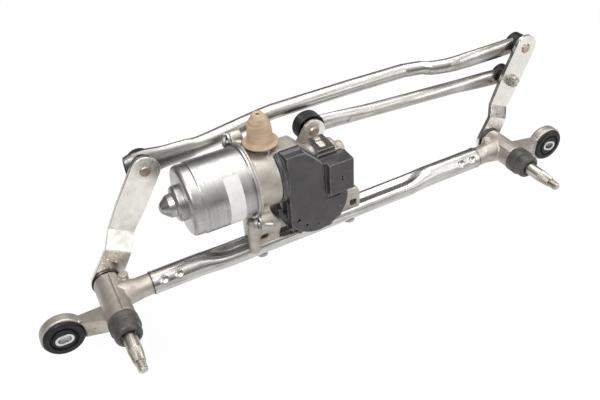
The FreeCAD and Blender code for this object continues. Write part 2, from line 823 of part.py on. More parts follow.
def armature():
    my = motor_axis_y
    mz = motor_axis_z
    shaft_right = end_bush_left + shaft_bush_length
    shaft = turned_x([(hub_left - 2, 0), (hub_left - 1, shaft_radius), (shaft_right, shaft_radius),
                      (shaft_right + 1, 0)], my, mz)
    core = bar(22.0, (90, my, mz), (118, my, mz))
    slots = []
    for step in range(10):
        slot = box((89, my - 1.1, mz + 12), (119, my + 1.1, mz + 23))
        both = slot.fuse(box((89, my - 2.6, mz + 12), (119, my + 2.6, mz + 19.5)))
        both.rotate(V(0, my, mz), V(1, 0, 0), 36 * step)
        slots.append(both)
    return shaft.fuse(core.cut(Part.makeCompound(slots)))


def windings():
    bore = shaft_radius + press_gap
    parts = []
    for left, right, bulge in ((81.0, 90.0, 83.4), (118.0, 127.0, 124.6)):
        parts.append(turned_x([(left, bore), (left, 14), (bulge, 18.5), (right, 18.5), (right, bore)],
                              motor_axis_y, motor_axis_z))
    return Part.makeCompound(parts)


def commutator():
    my = motor_axis_y
    mz = motor_axis_z
    bore = shaft_radius + press_gap
    shape = turned_x([(128.0, bore), (128.0, 10.2), (130.5, 10.2), (131.5, 9.0), (146.0, 9.0), (146.0, bore)],
                     my, mz)
    for step in range(12):
        slot = box((132.5, my - 0.35, mz + 8.2), (147, my + 0.35, mz + 9.5))
        slot.rotate(V(0, my, mz), V(1, 0, 0), 30 * step)
        shape = shape.cut(slot)
    return shape


def brush_plate():
    plate_ring = ring_x(neck_bore + 1.4, 11.0, motor_axis_y, motor_axis_z, can_right + 0.3, can_right + 2.6)
    parts = [plate_ring]
    for side in (-1, 1):
        low = motor_axis_z + side * 9.5
        high = motor_axis_z + side * 21.0
        parts.append(box((can_right + 2.0, motor_axis_y - 4, low), (can_right + 14, motor_axis_y + 4, high)))
    return parts[0].fuse(parts[1:])


def worm():
    profile = [(worm_left, shaft_radius + press_gap), (worm_left, worm_radius - 1.4)]
    pitch = 3.6
    count = 9
    for step in range(count):
        x = worm_left + 1.2 + step * pitch
        profile += [(x, worm_radius - 1.4), (x + 0.8, worm_radius), (x + 1.8, worm_radius),
                    (x + 2.6, worm_radius - 1.4)]
    profile += [(worm_right, worm_radius - 1.4), (worm_right, shaft_radius + press_gap)]
    return turned_x(profile, motor_axis_y, motor_axis_z)


# Gearbox

def cover_outline(shrink):
    # A round case with a square upper left corner and a slope of 45 degrees down to the shoulder.
    r = gear_case_radius - cover_inset - shrink
    left = cover_left + shrink
    rise = math.sqrt(r ** 2 - (crank_axis_x - left) ** 2)
    top = cover_top - shrink
    right = crank_axis_x + r
    shoulder = cover_shoulder - shrink
    corner = cover_corner - shrink * math.tan(math.radians(22.5))
    return [(left, top), (corner, top), (corner + top - shoulder, shoulder), (right, shoulder),
            (right, crank_axis_z), (left, crank_axis_z - rise, crank_axis_x, crank_axis_z - r)]


def foot(outline, lean):
    # Cut from a slab along X; the front face leans forward as it rises.
    back = motor_axis_y + web_half
    side = [(cover_back, 0), (case_back - 1, 0), (case_back - 1, 30), (back, 34), (back, 60),
            (cover_back - lean, 60), (cover_back - lean, 14 + 3.1 * lean), (cover_back, 14)]
    wire = wire_of(side, lambda py, pz: V(left_foot_x - 20, py, pz))
    slab = outward(Part.Face(wire).extrude(V(right_foot_x - left_foot_x + 40, 0, 0)))
    return slab.common(plate_y(outline, cover_back - lean - 1, case_back))


def feet():
    # The left foot rises to the motor flange and has a round leg beside it; the right one is a low arch.
    x = left_foot_x
    leg_x = x - 10.3
    left_outline = [(leg_x, foot_low), (x + 14.4, foot_low), (x + 16.2, 26.0), (x + 15.3, 32.0), (x + 9.5, 41.8),
                    (x + 2.1, 50.3), (x - 5.2, 50.3), (x - 5.2, 34.0), (leg_x, 34.0)]
    leg = bar(leg_radius, (leg_x, cover_back, foot_low), (leg_x, cover_back, leg_top))
    parts = [foot(left_outline, foot_lean), leg, Part.makeSphere(leg_radius, V(leg_x, cover_back, leg_top))]
    x = right_foot_x
    right_outline = [(x - 17.8, foot_low), (x + 7.4, foot_low), (x + 7.4, 26.0), (x - 0.8, 34.5, x + 5.0, 32.1),
                     (x - 7.8, 34.5), (x - 17.8, 24.0)]
    parts.append(foot(right_outline, 0))
    for outer, inner in ((left_foot_x + 11.2, crank_axis_x - 20), (crank_axis_x + 20, right_foot_x - 5.8)):
        parts.append(box((outer, motor_axis_y - web_half, 14), (inner, motor_axis_y + web_half, 31)))
    return parts


def gear_casing():
    my = motor_axis_y
    mz = motor_axis_z
    flange = bar(flange_radius, (can_right, my, mz), (can_right + 2.6, my, mz))
    flange = flange.cut(box((can_right - 1, boot_room, mz - 40), (can_right + 3, my + 40, mz + 40)))
    neck = bar(neck_radius, (can_right + 1, my, mz), (neck_step, my, mz))
    seat_right = cover_left - cover_rim - press_gap
    seat = bar(collar_inner - press_gap, (neck_step - 1, my, mz), (seat_right, my, mz))
    rear = bar(neck_radius, (neck_step - 1, my, mz), (cover_left + 1, my, mz))
    rear = rear.cut(box((neck_step - 2, my - 40, mz - 40), (cover_left + 2, cover_back, mz + 40)))
    neck = neck.fuse([seat, rear])
    neck = neck.cut(box((can_right + 2.6, neck_flat, mz - 40), (cover_left + 2, my + 40, mz + 40)))
    body = plate_y(cover_outline(0), cover_back, case_back - 5)
    drum = turned_y([(0, cover_back), (gear_case_radius, cover_back), (gear_case_radius, case_back - 2),
                     (gear_case_radius - 2, case_back), (14.5, case_back), (11.5, case_back + 10),
                     (0, case_back + 10)], crank_axis_x, crank_axis_z)
    tunnel = turned_x([(neck_step, 0), (neck_step, worm_case_radius), (tunnel_end - 2, worm_case_radius),
                       (tunnel_end, worm_case_radius - 2), (tunnel_end, 7.5), (tunnel_end + 7.5, 7.5),
                       (tunnel_end + 8.5, 6.5), (tunnel_end + 8.5, 0)], my, mz)
    tunnel = tunnel.cut(box((neck_step - 1, my - 40, mz - 20), (tunnel_end + 10, cover_back, mz + 20)))
    nose = box((latch_left + latch_arm + 0.8, latch_back - latch_arm - 3.8, mz + 10),
               (latch_right - latch_arm - 0.8, latch_back - latch_bridge - 0.3, latch_high + 0.4))
    parts = [neck, body, drum, tunnel, nose]
    for y, z in screw_places:
        parts.append(bar(7.5, (can_right, y, z), (can_right + 11, y, z)))
        web = box((can_right, my - 5.5, mz + 20), (can_right + 11, my + 5.5, mz + screw_circle))
        web.rotate(V(0, my, mz), V(1, 0, 0), -45 if y > my else 135)
        parts.append(web)
    for step in range(6):
        turn = 60 * step + 15
        rib = box((crank_axis_x + 9, case_back - 4, crank_axis_z - 1.5),
                  (crank_axis_x + gear_case_radius - 1.5, case_back + 2.2, crank_axis_z + 1.5))
        rib.rotate(V(crank_axis_x, 0, crank_axis_z), V(0, 1, 0), turn)
        parts.append(rib)
    parts += feet()
    parts.append(box((can_right + 2.6, my - web_half, 25), (cover_left + 4, my + web_half, 60)))
    parts.append(bar(spigot_reach, (vent_x, my, mz + 20), (vent_x, my, vent_base_z + 9)))
    parts.append(bar(spigot_reach + 1.6, (vent_x, my, mz + 20), (vent_x, my, vent_base_z - 1)))
    parts.append(bar(1.3, (vent_x + 1.5, my - 12, mz + 20), (vent_x + 1.5, my - 12, vent_base_z - 0.3)))
    shape = flange.fuse(parts).removeSplitter()
    shape = shape.cut(bar(neck_bore + 1.5, (can_right - 1, my, mz), (can_right + 2.6, my, mz)))
    hollow = bar(neck_bore, (can_right + 2, my, mz), (neck_floor, my, mz))
    hollow = hollow.cut(box((can_right + 1, neck_flat - 2.6, mz - 40), (neck_floor + 1, my + 40, mz + 40)))
    shape = shape.cut(hollow)
    shape = shape.cut(bar(shaft_bush_outer, (140, my, mz), (end_bush_left + shaft_bush_length, my, mz)))
    shape = shape.cut(bar(shaft_radius + 0.6, (140, my, mz), (221, my, mz)))
    shape = shape.cut(bar(worm_radius + 1.5, (163, my, mz), (208, my, mz)))
    shape = shape.cut(bar(wheel_tip + 1.5, (crank_axis_x, cover_back - 1, crank_axis_z),
                          (crank_axis_x, case_back - 5.5, crank_axis_z)))
    shape = shape.cut(plate_y(cover_outline(3.0), cover_back - 1, cover_back + 4))
    shape = shape.cut(bar(output_radius + 2 + press_gap, (crank_axis_x, 50, crank_axis_z),
                          (crank_axis_x, case_back + 12, crank_axis_z)))
    shape = shape.cut(bar(2.5, (vent_x, my, mz + 18), (vent_x, my, vent_base_z + 10)))
    shape = shape.cut(tube_form(100, 300, 0.04))
    for y, z in screw_places:
        shape = shape.cut(bar(2.4 + press_gap, (can_right - 1, y, z), (can_right + 13, y, z)))
    for centre in foot_centres:
        y = tube_axis(centre)[0]
        half = foot_window / 2
        shape = shape.cut(box((centre - half, cover_back - foot_lean, foot_window_low),
                              (centre + half, cover_back + foot_window_depth, foot_window_low + foot_window)))
        shape = shape.cut(bar(3.0 + press_gap, (centre, y, -20), (centre, y, 24)))
    return shape


def foot_screws():
    parts = []
    for centre in foot_centres:
        y, z = tube_axis(centre)
        seat = z - mix(tube_radius, press_bottom, pressed_share(centre))
        parts.append(turned_z([(0, seat - 4.4), (4.6, seat - 4.4), (5.6, seat - 3.4), (5.6, seat - 0.2),
                               (3.0, seat - 0.2), (3.0, 22), (2.4, 23), (0, 23)], centre, y))
    return Part.makeCompound(parts)


def cover_clips():
    # Feet on the rim with fingers that reach over the drum.
    parts = []
    for turn in (220, 236, 292, 313):
        root = box((crank_axis_x + 29.2, cover_front + 3, crank_axis_z - tab_half),
                   (crank_axis_x + tab_reach, cover_back - 4.8, crank_axis_z + tab_half))
        finger = box((crank_axis_x + gear_case_radius + 0.06, cover_back - 5, crank_axis_z - tab_half),
                     (crank_axis_x + gear_case_radius + 2, cover_back + 4.5, crank_axis_z + tab_half))
        clip = root.fuse(finger)
        clip.rotate(V(crank_axis_x, 0, crank_axis_z), V(0, 1, 0), -turn)
        parts.append(clip)
    return parts


def cover_latch():
    # A bar in two steps on the shoulder, and the loop that hooks over the nose on the worm tunnel.
    bottom = cover_shoulder - 2.5
    lower_bar = box((latch_left - 3, cover_back - 5, bottom), (latch_right, cover_back - 1, latch_high - 3.4))
    upper_bar = box((latch_left - 1.5, cover_back - 3.4, bottom), (latch_right, cover_back - 1, latch_high))
    loop = box((latch_left, cover_back - 3, latch_low), (latch_right, latch_back, latch_high))
    hole = box((latch_left + latch_arm, cover_back + 1.5, latch_low - 1),
               (latch_right - latch_arm, latch_back - latch_bridge, latch_high + 1))
    return [lower_bar, upper_bar, loop.cut(hole)]


def cover_slots():
    # Triangular vents around the lower front, each smaller than the one before.
    parts = []
    for turn, size in ((209, 3.6), (238, 3.0), (269, 2.2), (299, 1.6), (334, 1.2)):
        low = crank_axis_x + slot_circle - 0.6 * size
        z = crank_axis_z
        corners = [(low, z - size / 2), (low + 1.6 * size, z), (low, z + size / 2)]
        slot = plate_y(corners, cover_front - 1, cover_front + cover_wall + 1)
        slot.rotate(V(crank_axis_x, 0, crank_axis_z), V(0, 1, 0), -turn)
        parts.append(slot)
    return parts


def rounded_front(shape, radius):
    front = shape.BoundBox.YMin
    edges = [edge for edge in shape.Edges if edge.BoundBox.YMax < front + 0.01]
    return shape.makeFillet(radius, edges)


def gear_cover():
    inside = plate_y(cover_outline(cover_wall), cover_front + cover_wall, cover_back + 1)
    outer = rounded_front(plate_y(cover_outline(0), cover_front, cover_back), cover_edge)
    rim = plate_y(cover_outline(-cover_rim), cover_back - cover_rim_depth, cover_back)
    bead = plate_y(cover_outline(-cover_rim / 2), cover_back - cover_rim_depth - 1.6, cover_back)
    left = neck_step + free_gap
    right = cover_left + 1.1
    bulge = collar_outer + 0.7
    collar = turned_x([(left, collar_inner), (left, collar_outer), (left + 2.2, collar_outer),
                       (left + 2.2, bulge), (left + 3.4, bulge), (left + 3.4, collar_outer),
                       (right, collar_outer), (right, collar_inner)], motor_axis_y, motor_axis_z)
    collar = collar.cut(box((neck_step, cover_back - free_gap, 0), (cover_left + 2, cover_back + 60, 120)))
    skirt_front = cover_back - skirt_depth
    skirt = ring_y(skirt_radius, gear_case_radius - 1, crank_axis_x, crank_axis_z, skirt_front, cover_back)
    skirt = skirt.common(box((crank_axis_x - skirt_radius - 1, 0, crank_axis_z - skirt_radius),
                             (crank_axis_x - 12, cover_back + 1, crank_axis_z)))
    pad = wire_of(stadium(crank_axis_z, 33, 22, 8), lambda along, across: V(cover_left - 0.8, across, along))
    shell = outer.fuse([rim, bead, skirt, outward(Part.Face(pad).extrude(V(1.6, 0, 0)))]).cut(inside)
    block = rounded_front(box((connector_left, connector_front, connector_low),
                              (connector_right, connector_back, connector_high)), 1.0)
    pieces = [block, collar]
    for x, z in ((168.5, 54.0), (190.5, 54.0), (168.5, 90.0)):
        pieces.append(bar(1.8, (x, cover_front + 1, z), (x, board_front, z)))
    shape = shell.fuse(pieces + cover_clips() + cover_latch())
    wall = connector_wall
    socket_low = (connector_left + connector_floor, connector_front + wall, connector_low + wall)
    shape = shape.cut(box(socket_low, (connector_right + 1, connector_back - wall, connector_high - wall)))
    hollow = plate_y(cover_outline(cover_wall), board_front + 1, cover_back + 1)
    behind_socket = box((connector_left - 2, 0, groove_low - 4), (connector_right + 5, 60, connector_high + 1))
    shape = shape.cut(hollow.cut(behind_socket))
    shape = shape.cut(cover_slots())
    first = (connector_left - groove_width, cover_front - 1, groove_low)
    groove_back = cover_front + groove_depth
    shape = shape.cut(box(first, (connector_left, groove_back, cover_shoulder + 1)))
    shape = shape.cut(box(first, (groove_right, groove_back, groove_low + groove_width - 0.2)))
    front = connector_front - 1
    back = connector_front + wall + 1
    slit = box((keyhole_x - 0.6, front, keyhole_z - 2.3), (keyhole_x + 0.6, back, keyhole_z + 1.3))
    eye = bar(1.0, (keyhole_x, front, keyhole_z + 1.5), (keyhole_x, back, keyhole_z + 1.5))
    shape = shape.cut(slit.fuse(eye))
    for z in pin_places:
        shape = shape.cut(pin(z, connector_left, connector_left + connector_floor + 1, press_gap))
    return shape


def pin(z, left, right, grow):
    middle = (connector_front + connector_back) / 2 + 1.3
    thick = pin_thickness / 2 + grow
    wide = pin_width / 2 + grow
    return box((left, middle - thick, z - wide), (right, middle + thick, z + wide))


def connector_pins():
    return Part.makeCompound([pin(z, connector_left + 1.5, connector_right - 5.5, 0) for z in pin_places])


def circuit_board():
    left = cover_left + board_left_inset
    top = cover_top - board_top_inset
    back = board_front + board_thickness
    board = box((left, board_front, board_low), (connector_left - board_right_inset, back, top))
    board = board.common(plate_y(cover_outline(cover_wall + 1), board_front - 1, board_front + 3))
    relay_left = left + relay_left_inset
    relay_top = top - relay_top_inset
    relay = box((relay_left, back, relay_top - relay_height), (relay_left + relay_width, back + relay_depth, relay_top))
    choke_y = back + choke_radius - 0.2
    choke = bar(choke_radius, (187, choke_y, 56), (187, choke_y, 68))
    return board.fuse([relay, choke])


def vent_cap():
    z = vent_base_z
    top = z + vent_height
    bore = spigot_reach + press_gap
    return turned_z([(bore, z - 0.9), (bore + 2, z - 0.9), (vent_radius - 1.2, z + 0.2), (vent_radius, z + 0.8),
                     (vent_radius, z + 2.0), (12.6, z + 3.2), (10.6, z + 4.8), (9.6, z + 7.5), (9.4, z + 10.0),
                     (9.4, z + 15.0), (9.0, z + 17.5), (7.6, z + 21.0), (6.4, z + 23.5), (5.6, z + 26.0),
                     (4.6, top - 0.5), (3.4, top), (1.7, top), (1.7, top - 2.6), (5.0, z + 20.0),
                     (bore, z + 9.4)], vent_x, motor_axis_y)


def worm_wheel():
    points = []
    root = wheel_tip - wheel_tooth_height
    for step in range(wheel_teeth):
        base = 2 * math.pi * step / wheel_teeth
        pitch = 2 * math.pi / wheel_teeth
        for r, share in ((root, -0.28), (wheel_tip, -0.14), (wheel_tip, 0.14), (root, 0.28)):
            turn = base + share * pitch
            points.append((crank_axis_x + r * math.cos(turn), crank_axis_z + r * math.sin(turn)))
    front = motor_axis_y - wheel_width / 2
    back = motor_axis_y + wheel_width / 2
    shape = plate_y(points, front, back)
    for low, high in ((front - 1, front + 3), (back - 3, back + 1)):
        shape = shape.cut(ring_y(root - 3, 10.0, crank_axis_x, crank_axis_z, low, high))
    for step in range(6):
        turn = math.radians(60 * step)
        x = crank_axis_x + 15.2 * math.cos(turn)
        z = crank_axis_z + 15.2 * math.sin(turn)
        shape = shape.cut(bar(3.0, (x, front, z), (x, back, z)))
    return shape.cut(bar(output_radius + press_gap, (crank_axis_x, front - 1, crank_axis_z),
                         (crank_axis_x, back + 1, crank_axis_z)))


def output_shaft():
    front = motor_axis_y - wheel_width / 2
    tip = crank_plate_back + 8.0
    return turned_y([(0, front - 2), (8.0, front - 2), (8.0, front), (output_radius, front),
                     (output_radius, crank_front), (4.2, crank_front), (4.2, crank_plate_back),
                     (4.0, crank_plate_back), (4.0, tip - 1), (3.0, tip), (0, tip)], crank_axis_x, crank_axis_z)


def crank_nut():
    nut = hexagon_y(13.0, crank_axis_x, crank_axis_z, crank_plate_back, crank_plate_back + 6.5)
    collar = turned_y([(0, crank_plate_back), (8.6, crank_plate_back), (8.2, crank_plate_back + 1.2),
                       (0, crank_plate_back + 1.2)], crank_axis_x, crank_axis_z)
    return nut.fuse(collar).cut(bar(4.0 + press_gap, (crank_axis_x, 70, crank_axis_z),
                                    (crank_axis_x, 90, crank_axis_z)))


def crank_arm():
    x, z = crank_ball
    outline = teardrop(crank_axis_x, crank_axis_z, crank_hub_radius, x, z, crank_eye_radius)
    shape = plate_y(outline, crank_front, crank_plate_back)
    shape = shape.cut(bar(4.2 + press_gap, (crank_axis_x, 70, crank_axis_z), (crank_axis_x, 80, crank_axis_z)))
    return shape.cut(bar(rivet_shank + press_gap, (x, 70, z), (x, 80, z)))


# Frame with its housings
frame = frame_tube()
for foot_x in foot_centres:
    foot_y = tube_axis(foot_x)[0]
    frame = frame.cut(bar(3.0 + press_gap, (foot_x, foot_y, -20), (foot_x, foot_y, 22)))
save("frame_tube", frame)
save("left_housing", housing(0, 0, left_housing_rear, tube_start, left_eye_x, left_eye_z, -13, 4))
save("right_housing", housing(right_x, right_z, right_housing_rear, tube_stop, right_eye_x, right_eye_z,
                              0, 16))
save("left_grommet", grommet(left_eye_x, left_eye_z, 0))
save("right_grommet", grommet(right_eye_x, right_eye_z, -right_slot_turn))
save("left_eye_bush", eye_bush(left_eye_x, left_eye_z, 0))
save("right_eye_bush", eye_bush(right_eye_x, right_eye_z, -right_slot_turn))
save("left_bearing_bushes", bearing_bushes(0, 0, left_housing_rear))
save("right_bearing_bushes", bearing_bushes(right_x, right_z, right_housing_rear))
save("left_seal_cap", seal_cap(0, 0))
save("right_seal_cap", seal_cap(right_x, right_z))
save("left_washers", Part.makeCompound([front_washer(0, 0), rear_washer(0, 0, left_housing_rear)]))
save("right_washers", Part.makeCompound([front_washer(right_x, right_z),
                                         rear_washer(right_x, right_z, right_housing_rear)]))

# Motor and gearbox
save("motor_can", motor_can())
save("field_magnets", field_magnets())
save("can_screws", can_screws())
save("brush_plate", brush_plate())
save("end_bearing", shaft_bush(hub_left + 0.5, 0))
save("casing_bearings", Part.makeCompound([shaft_bush(neck_bush_left, press_gap),
                                           shaft_bush(end_bush_left, press_gap)]))
save("gear_casing", gear_casing())
save("foot_screws", foot_screws())
save("output_bush", ring_y(output_radius + 2, output_radius + running_gap, crank_axis_x, crank_axis_z,
                           case_back - 5, case_back + 9.7))
save("gear_cover", gear_cover())
save("circuit_board", circuit_board())
save("connector_pins", connector_pins())
save("vent_cap", vent_cap())
save("armature", armature())
save("windings", windings())
save("commutator", commutator())
save("worm", worm())

# Crank
save("worm_wheel", worm_wheel())
save("output_shaft", output_shaft())
save("crank_arm", crank_arm())
save("crank_nut", crank_nut())
save("crank_ball_stud", riveted_stud(*crank_ball, crank_front, crank_plate_back, crank_ball_y))

# Levers with their spindles
save("left_spindle", spindle(0, 0, left_lever_front))
save("right_spindle", spindle(right_x, right_z, right_lever_front))
save("left_circlip", circlip(0, 0))
save("right_circlip", circlip(right_x, right_z))
shaft_end = spindle_radius - 1.0
save("left_lever", lever(0, 0, left_lever_front, left_lever_radius, left_lever_angle, left_joggle_start,
                         left_joggle_length, left_joggle_step, [(0, shaft_end), (left_lever_radius, rivet_shank)]))
save("right_lever", lever(right_x, right_z, right_lever_front, right_lever_radius, right_lever_angle,
                          right_joggle_start, right_joggle_length, right_joggle_step,
                          [(0, shaft_end), (mid_ball_radius, 3.0), (right_lever_radius, rivet_shank)]))
save("left_ball_stud", riveted_stud(*left_ball, left_plate_back - plate, left_plate_back, left_ball_y))
save("right_ball_stud", riveted_stud(*right_ball, right_plate_back - plate, right_plate_back, right_ball_y))
save("mid_ball_stud", bolted_stud(*mid_ball, right_plate_back - plate, right_plate_back, right_ball_y))
save("mid_stud_nut", stud_nut(*mid_ball, right_plate_back - plate))

# Rods
save("long_rod", long_rod())
save("long_rod_open_socket", open_socket(*left_ball, left_ball_y, left_socket_radius, left_open_gap))
save("long_rod_socket", socket(*right_ball, right_ball_y, socket_radius))
save("short_rod", short_rod())
save("crank_boot", open_socket(*crank_ball, crank_ball_y, crank_socket_radius, crank_open_gap))
save("short_rod_socket", socket(*mid_ball, right_ball_y, socket_radius))
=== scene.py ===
import json
import math

import bmesh
import bpy
from mathutils import Matrix, Vector


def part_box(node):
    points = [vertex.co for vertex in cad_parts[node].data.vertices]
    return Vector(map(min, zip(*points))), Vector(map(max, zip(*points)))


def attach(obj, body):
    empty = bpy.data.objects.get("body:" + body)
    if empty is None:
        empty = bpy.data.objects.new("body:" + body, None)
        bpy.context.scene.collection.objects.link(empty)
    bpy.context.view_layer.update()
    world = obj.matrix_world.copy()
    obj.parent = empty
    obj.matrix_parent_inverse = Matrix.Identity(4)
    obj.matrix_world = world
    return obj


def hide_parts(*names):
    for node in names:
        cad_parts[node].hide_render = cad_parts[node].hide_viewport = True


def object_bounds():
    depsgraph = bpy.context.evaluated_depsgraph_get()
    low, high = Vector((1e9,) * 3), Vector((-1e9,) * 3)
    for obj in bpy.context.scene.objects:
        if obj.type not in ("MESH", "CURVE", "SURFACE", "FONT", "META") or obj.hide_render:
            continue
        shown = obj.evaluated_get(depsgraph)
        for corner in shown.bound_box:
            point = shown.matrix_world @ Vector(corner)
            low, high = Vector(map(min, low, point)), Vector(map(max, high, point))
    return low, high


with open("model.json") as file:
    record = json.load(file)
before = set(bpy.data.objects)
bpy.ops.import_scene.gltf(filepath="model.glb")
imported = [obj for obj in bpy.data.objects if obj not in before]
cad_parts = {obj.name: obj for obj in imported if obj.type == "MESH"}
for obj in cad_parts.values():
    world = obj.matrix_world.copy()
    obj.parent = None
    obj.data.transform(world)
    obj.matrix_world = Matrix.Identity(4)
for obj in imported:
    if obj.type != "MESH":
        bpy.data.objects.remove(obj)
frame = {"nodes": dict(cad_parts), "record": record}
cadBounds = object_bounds()
mm = 0.001
mergeGap = 0.002

bodyOfNode = {}
for bodyName, members in frame["record"]["behaviour"]["bodies"].items():
    for member in members:
        bodyOfNode[member] = bodyName
slotOfNode = {row["node"]: row["material_slot"] for row in frame["record"]["subparts"]}
print("frame loaded:", len(frame["nodes"]), "nodes")


# Small helpers for selecting, copying and finishing

def onlySelect(piece):
    bpy.ops.object.select_all(action="DESELECT")
    piece.select_set(True)
    bpy.context.view_layer.objects.active = piece


def editMode(piece):
    onlySelect(piece)
    bpy.ops.object.mode_set(mode="EDIT")
    bpy.ops.mesh.select_all(action="SELECT")


def objectMode():
    bpy.ops.object.mode_set(mode="OBJECT")


def outwardAgain():
    # In edit mode: every face of a closed shape is turned to point outwards
    bpy.ops.mesh.select_all(action="SELECT")
    bpy.ops.mesh.normals_make_consistent(inside=False)


def addModifier(piece, kind, **settings):
    onlySelect(piece)
    bpy.ops.object.modifier_add(type=kind)
    modifier = piece.modifiers[-1]
    for name, value in settings.items():
        setattr(modifier, name, value)
    bpy.ops.object.modifier_apply(modifier=modifier.name)


def mergedCopy(node, name):
    piece = bpy.data.objects.new(name, frame["nodes"][node].data.copy())
    bpy.context.scene.collection.objects.link(piece)
    editMode(piece)
    bpy.ops.mesh.remove_doubles(threshold=mergeGap * mm)
    objectMode()
    return piece


def copyPiece(piece):
    copied = piece.copy()
    copied.data = piece.data.copy()
    bpy.context.scene.collection.objects.link(copied)
    return copied


def newPrimitive(maker, name, **settings):
    # Everything is deselected first, then the new shape's place goes into its mesh
    bpy.ops.object.select_all(action="DESELECT")
    maker(**settings)
    piece = bpy.context.active_object
    piece.name = name
    bpy.ops.object.transform_apply(location=True, rotation=True, scale=True)
    return piece


def turnedPiece(name, outline, sides):
    # Turned around Z: a disc is extruded and resized from each (radius, height) in mm to the next
    radius, height = outline[0]
    piece = newPrimitive(bpy.ops.mesh.primitive_circle_add, name, vertices=sides, radius=radius * mm,
                         fill_type="NGON", location=(0, 0, height * mm))
    editMode(piece)
    for nextRadius, nextHeight in outline[1:]:
        step = (0, 0, (nextHeight - height) * mm)
        bpy.ops.mesh.extrude_region_move(TRANSFORM_OT_translate={"value": step})
        share = nextRadius / radius
        bpy.ops.transform.resize(value=(share, share, 1), center_override=(0, 0, nextHeight * mm))
        radius, height = nextRadius, nextHeight
    outwardAgain()
    objectMode()
    return piece


def placePiece(piece, turn, place):
    onlySelect(piece)
    piece.rotation_euler = [math.radians(angle) for angle in turn]
    piece.location = [value * mm for value in place]
    bpy.ops.object.transform_apply(location=True, rotation=True, scale=True)


def placeCopies(piece, spots):
    # The piece itself takes the first (turn, place), and copies with their own meshes take the rest
    pieces = [piece] + [copyPiece(piece) for _ in spots[1:]]
    for item, (turn, place) in zip(pieces, spots):
        placePiece(item, turn, place)
    return pieces


def joinPieces(first, others):
    onlySelect(first)
    for other in others:
        other.select_set(True)
    bpy.ops.object.join()
    return first


def cutWith(piece, cutter):
    onlySelect(piece)
    bpy.ops.object.modifier_add(type="BOOLEAN")
    modifier = piece.modifiers[-1]
    modifier.operation = "DIFFERENCE"
    modifier.solver = "EXACT"
    modifier.object = cutter
    bpy.ops.object.modifier_apply(modifier=modifier.name)
    bpy.data.objects.remove(cutter)


def smoothBy(piece, degrees):
    onlySelect(piece)
    bpy.ops.object.shade_smooth_by_angle(angle=math.radians(degrees))


def middleOf(node):
    low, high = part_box(node)
    return [(near + far) / 2 / mm for near, far in zip(low, high)]


# Node helpers

def feed(tree, socket, item):
    # A plain number is set on the socket, and another socket is linked to it
    if isinstance(item, float):
        socket.default_value = item
    else:
        tree.links.new(item, socket)


def noise(tree, vector, scale, detail, rough):
    made = tree.nodes.new("ShaderNodeTexNoise")
    made.inputs["Detail"].default_value = detail
    made.inputs["Roughness"].default_value = rough
    tree.links.new(vector, made.inputs["Vector"])
    feed(tree, made.inputs["Scale"], scale)
    return made.outputs["Fac"]


def remap(tree, value, source, target):
    # Carries a value from its own low and high to the wanted low and high
    made = tree.nodes.new("ShaderNodeMapRange")
    for label, item in zip(("From Min", "From Max", "To Min", "To Max"), source + target):
        feed(tree, made.inputs[label], item)
    tree.links.new(value, made.inputs["Value"])
    return made.outputs["Result"]


def mixColour(tree, factor, first, second):
    made = tree.nodes.new("ShaderNodeMix")
    made.data_type = "RGBA"
    tree.links.new(factor, made.inputs["Factor"])
    tree.links.new(first, made.inputs["A"])
    tree.links.new(second, made.inputs["B"])
    return made.outputs["Result"]


def plainColour(tree, colour):
    made = tree.nodes.new("ShaderNodeRGB")
    made.outputs["Color"].default_value = (*colour, 1)
    return made.outputs["Color"]


def arithmetic(tree, operation, first, second):
    made = tree.nodes.new("ShaderNodeMath")
    made.operation = operation
    feed(tree, made.inputs[0], first)
    feed(tree, made.inputs[1], second)
    return made.outputs["Value"]


def newGroup(name, inputs, outputs):
    # Hands back the group, its input and output sockets, and the Object coordinates inside it
    group = bpy.data.node_groups.new(name, "ShaderNodeTree")
    kindOfLength = {3: "NodeSocketVector", 4: "NodeSocketColor"}
    for label, value in inputs.items():
        kind = "NodeSocketFloat" if isinstance(value, float) else kindOfLength[len(value)]
        socket = group.interface.new_socket(name=label, in_out="INPUT", socket_type=kind)
        socket.default_value = value
    for label in outputs:
        kind = "NodeSocketColor" if label == "Color" else "NodeSocketFloat"
        group.interface.new_socket(name=label, in_out="OUTPUT", socket_type=kind)
    given = group.nodes.new("NodeGroupInput").outputs
    result = group.nodes.new("NodeGroupOutput").inputs
    place = group.nodes.new("ShaderNodeTexCoord").outputs["Object"]
    return group, given, result, place


# Shared effects: three skins, a stretch along X, handling wear, and lighter edges that are part rubbed wear
# and part painted highlight

skinOutputs = ("Color", "Roughness", "Height")


def linkSkin(group, result, colour, rough, height):
    group.links.new(colour, result["Color"])
    group.links.new(rough, result["Roughness"])
    group.links.new(height, result["Height"])


def buildCastGroup():
    # Sand-blasted cast skin: fine grain, cloudy staining and small dark pits
    group, given, result, place = newGroup("castSkin", {
        "Light": (0.7, 0.68, 0.65, 1), "Dark": (0.45, 0.42, 0.38, 1), "Grain Scale": 900.0,
        "Cloud Scale": 45.0, "Smooth": 0.38, "Rough": 0.56}, skinOutputs)
    grain = noise(group, place, given["Grain Scale"], detail=4.0, rough=0.6)
    cloud = noise(group, place, given["Cloud Scale"], detail=5.0, rough=0.62)
    shade = remap(group, cloud, (0.38, 0.72), (0.0, 0.75))
    speck = remap(group, grain, (0.60, 0.76), (0.0, 0.45))
    stain = arithmetic(group, "MAXIMUM", shade, speck)
    colour = mixColour(group, stain, given["Light"], given["Dark"])
    rough = remap(group, cloud, (0.35, 0.70), (given["Smooth"], given["Rough"]))
    linkSkin(group, result, colour, rough, grain)
    return group


